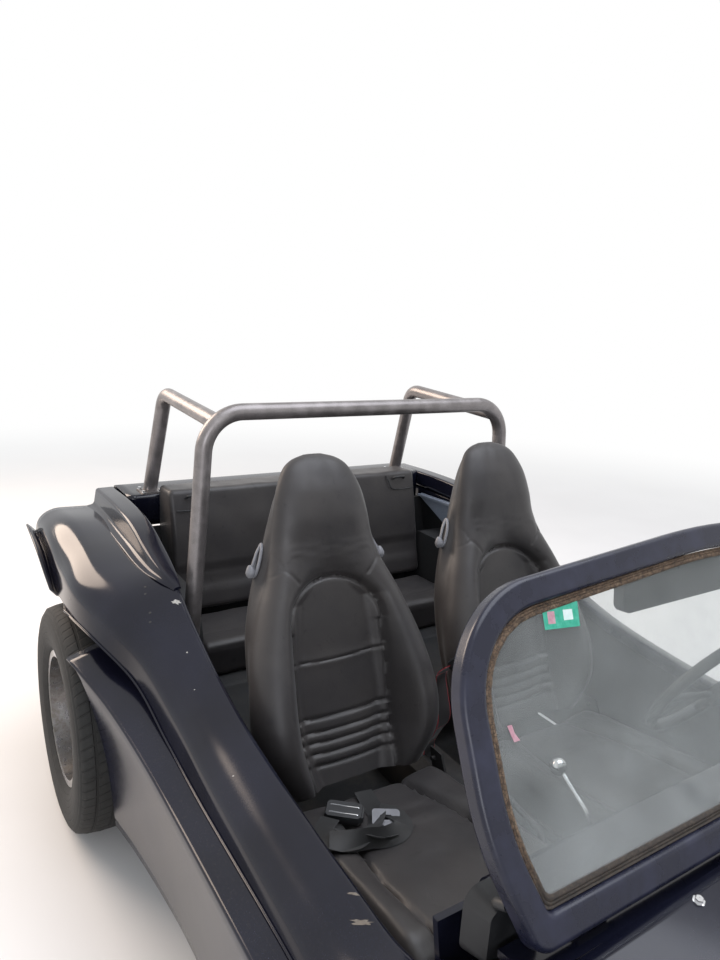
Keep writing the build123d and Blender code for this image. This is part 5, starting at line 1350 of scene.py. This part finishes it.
def makeBarPlugs():
    # black rubber plugs in the open ends of the bumper bars
    plugs = []
    radius = fittingPlaces["barRadius"]
    profile = [(radius - 3, -6), (radius + 0.6, -5), (radius + 0.8, 3), (radius - 5, 6.5), (0.5, 7.5)]
    for inner, end in (fittingPlaces["frontBarEnd"], fittingPlaces["rearBarEnd"]):
        for hand in (1, -1):
            near, far = (Vector((x, hand * y, z)) for x, y, z in (inner, end))
            plugs.append(aimed(turnedSkin(profile, 32), far, (far - near).normalized()))
    addPiece("bumperBarPlugs", plugs, "plastic", "chassis")


# Engine dress: grooved pulleys, the fan belt, coil, distributor and oil filler.
engineShape = {"beltX": -1819, "crankZ": 345, "fanZ": 664, "crankRadius": 80, "fanRadius": 58, "beltRadius": 5.5,
               "beltDepth": 6, "coil": (-1690, 176, 520), "distributor": (-1712, -128, 446),
               "filler": (-1712, 128, 440)}


def pulleyProfile(radius, front, rear):
    # radius and distance backwards from the belt's plane, with the belt's groove at 0
    return [(radius - 2, front), (radius, front + 2), (radius, -7), (radius - 10, -3), (radius - 10, 3), (radius, 7),
            (radius, rear - 2), (radius - 3, rear), (radius * 0.62, rear), (radius * 0.58, rear - 6), (24, rear - 6),
            (22, rear), (11, rear + 1), (10, rear + 8), (0.5, rear + 9)]


def makeEngineDress():
    x, crankZ, fanZ = (engineShape[key] for key in ("beltX", "crankZ", "fanZ"))
    crank, fan = engineShape["crankRadius"], engineShape["fanRadius"]
    pulleys = [alongX(turnedSkin(pulleyProfile(crank, -36, 9), 60), (x, 0, crankZ)),
               alongX(turnedSkin(pulleyProfile(fan, -10, 11), 48), (x, 0, fanZ))]
    addPiece("beltPulleys", pulleys, "castAlloy", "chassis")
    # the belt runs over the fan, round the crank and back, sunk into both grooves
    lean = math.asin((crank - fan) / (fanZ - crankZ))
    over, under = fan - engineShape["beltDepth"], crank - engineShape["beltDepth"]
    path = [(x, over * math.cos(a), fanZ + over * math.sin(a)) for a in np.linspace(-lean, math.pi + lean, 26)]
    path += [(x, -under * math.cos(a), crankZ - under * math.sin(a)) for a in np.linspace(lean, math.pi - lean, 30)]
    path = evenLine(path + [path[0]], 120)[:-1]
    belt = tubeSkin(path, engineShape["beltRadius"], 10, closed=True)
    addPiece("fanBelt", [belt], "plastic", "chassis")
    (coilX, coilY, coilZ), (capX, capY, capZ) = engineShape["coil"], engineShape["distributor"]
    spouts = [standing("spout", 14, (capX + 20 * math.cos(a), capY + 20 * math.sin(a), capZ + 34))
              for a in np.linspace(0, 2 * math.pi, 5)[:-1]]
    dress = [standing("coil", 32, (coilX, coilY, coilZ)), standing("cap", 32, (capX, capY, capZ))] + spouts
    addPiece("coilAndDistributor", dress, "plastic", "chassis")
    strap = shifted(boxSkin((-30, -8, -3), (2, 8, 3), 1.0), (coilX + 30, coilY, coilZ + 29))
    metal = [standing("filler", 28, engineShape["filler"]), standing("stand", 24, (capX, capY, capZ - 66)),
             standing("coilBand", 32, (coilX, coilY, coilZ)), strap]
    addPiece("oilFillerAndBase", metal, "castAlloy", "chassis")


makeLampRims()
makeDials()
makeBolts()
makeBarPlugs()
makeEngineDress()
print("lamp rims, dials, bolts and engine dress made")


# camera, where the photographer stood, and the studio
view = {"place": (0.929, -1.254, 1.623), "yaw": 33.027, "pitch": 13.621, "roll": 3.46, "lens": 27.386}


def setCamera():
    yaw, pitch, roll = (math.radians(view[key]) for key in ("yaw", "pitch", "roll"))
    ahead = Vector((-math.cos(yaw) * math.cos(pitch), math.sin(yaw) * math.cos(pitch), -math.sin(pitch)))
    right = ahead.cross(Vector((0, 0, 1))).normalized()
    up = right.cross(ahead)
    right, up = right * math.cos(roll) + up * math.sin(roll), up * math.cos(roll) - right * math.sin(roll)
    data = bpy.data.cameras.new("photoCamera")
    data.sensor_width = 36.0
    data.lens = view["lens"]
    data.clip_start = 0.02
    camera = bpy.data.objects.new("photoCamera", data)
    turn = Matrix((right, up, -ahead)).transposed()
    camera.matrix_world = Matrix.Translation(view["place"]) @ turn.to_4x4()
    scene.collection.objects.link(camera)
    scene.camera = camera


studio = {"floorHex": "#EDEBE8", "mottleHex": ("#E8E6E3", "#EFEDEA"), "mottleMm": 900, "reach": 40.0,
          "ambient": 0.72, "ambientHex": "#E8ECF2", "whiteHex": "#FFFFFF", "fadeFrom": 3.2, "fadeTo": 8.5}


def seenByEye(tree):
    # 1 for the rays that the eye follows: straight, mirrored and through glass
    rays = addNode(tree, "LightPath").outputs
    seen = addNode(tree, "Math", [rays["Is Camera Ray"], rays["Is Glossy Ray"]], operation="MAXIMUM")
    return addNode(tree, "Math", [seen, rays["Is Transmission Ray"]], operation="MAXIMUM")


def setWorld():
    # pale ambient light, behind which the eye sees plain white
    world = bpy.data.worlds.new("paleStudio")
    scene.world = world
    world.use_nodes = True
    tree = world.node_tree
    back = tree.nodes["Background"]
    back.inputs["Color"].default_value = toLinear(studio["ambientHex"])
    back.inputs["Strength"].default_value = studio["ambient"]
    white = addNode(tree, "Background", [studio["whiteHex"], 1.0])
    addNode(tree, "MixShader", [seenByEye(tree), back, white], tree.nodes["World Output"].inputs["Surface"])


def setFloor():
    reach = studio["reach"]
    corners = [(-reach, -reach, 0), (reach, -reach, 0), (reach, reach, 0), (-reach, reach, 0)]
    mesh = bpy.data.meshes.new("studioFloor")
    mesh.from_pydata(corners, [], [(0, 1, 2, 3)])
    floor = bpy.data.objects.new("studioFloor", mesh)
    scene.collection.objects.link(floor)
    material, tree, ends, place = startMaterial("paintedStudioFloor", studio["floorHex"], 0.95)
    mottle = addNode(tree, "TexNoise", {"Vector": place, "Scale": perMetre(studio["mottleMm"]), "Detail": 3.0})
    addNode(tree, "ValToRGB", [mottle], ends["Base Color"], list(zip((0.3, 0.7), studio["mottleHex"])))
    # far from the object the floor turns into the white of the background, for the eye only
    far = addNode(tree, "VectorMath", [place], operation="LENGTH").outputs["Value"]
    far = addNode(tree, "MapRange", [far, studio["fadeFrom"], studio["fadeTo"], 0.0, 1.0],
                  interpolation_type="SMOOTHSTEP")
    share = addNode(tree, "Math", [far, seenByEye(tree)], operation="MULTIPLY")
    glow = addNode(tree, "Emission", [studio["whiteHex"], 1.0])
    addNode(tree, "MixShader", [share, tree.nodes["Principled BSDF"], glow],
            tree.nodes["Material Output"].inputs["Surface"])
    mesh.materials.append(material)


def setLights():
    # soft boxes: name, place, aim, size, watts, colour
    softBoxes = [
        ("lowSunBox", (-4.5, -2.5, 3.2), (0, 0, 0.7), 3.0, 190, "#FFE9D6"),
        ("skyBox", (0.5, 1.0, 5.5), (0, 0, 0.5), 5.0, 230, "#EFF4FF"),
        ("fillBox", (4.5, -3.5, 2.6), (0, 0, 0.6), 3.0, 90, "#F4F6FF"),
    ]
    for name, place, aim, size, watts, hexText in softBoxes:
        light = bpy.data.lights.new(name, "AREA")
        light.shape = "DISK"
        light.size = size
        light.energy = watts
        light.color = toLinear(hexText)[:3]
        lamp = bpy.data.objects.new(name, light)
        lamp.location = place
        lamp.rotation_euler = (Vector(aim) - Vector(place)).to_track_quat("-Z", "Y").to_euler()
        scene.collection.objects.link(lamp)


setCamera()
setWorld()
setFloor()
setLights()
scene.view_settings.view_transform = "Standard"
print("camera and studio set")
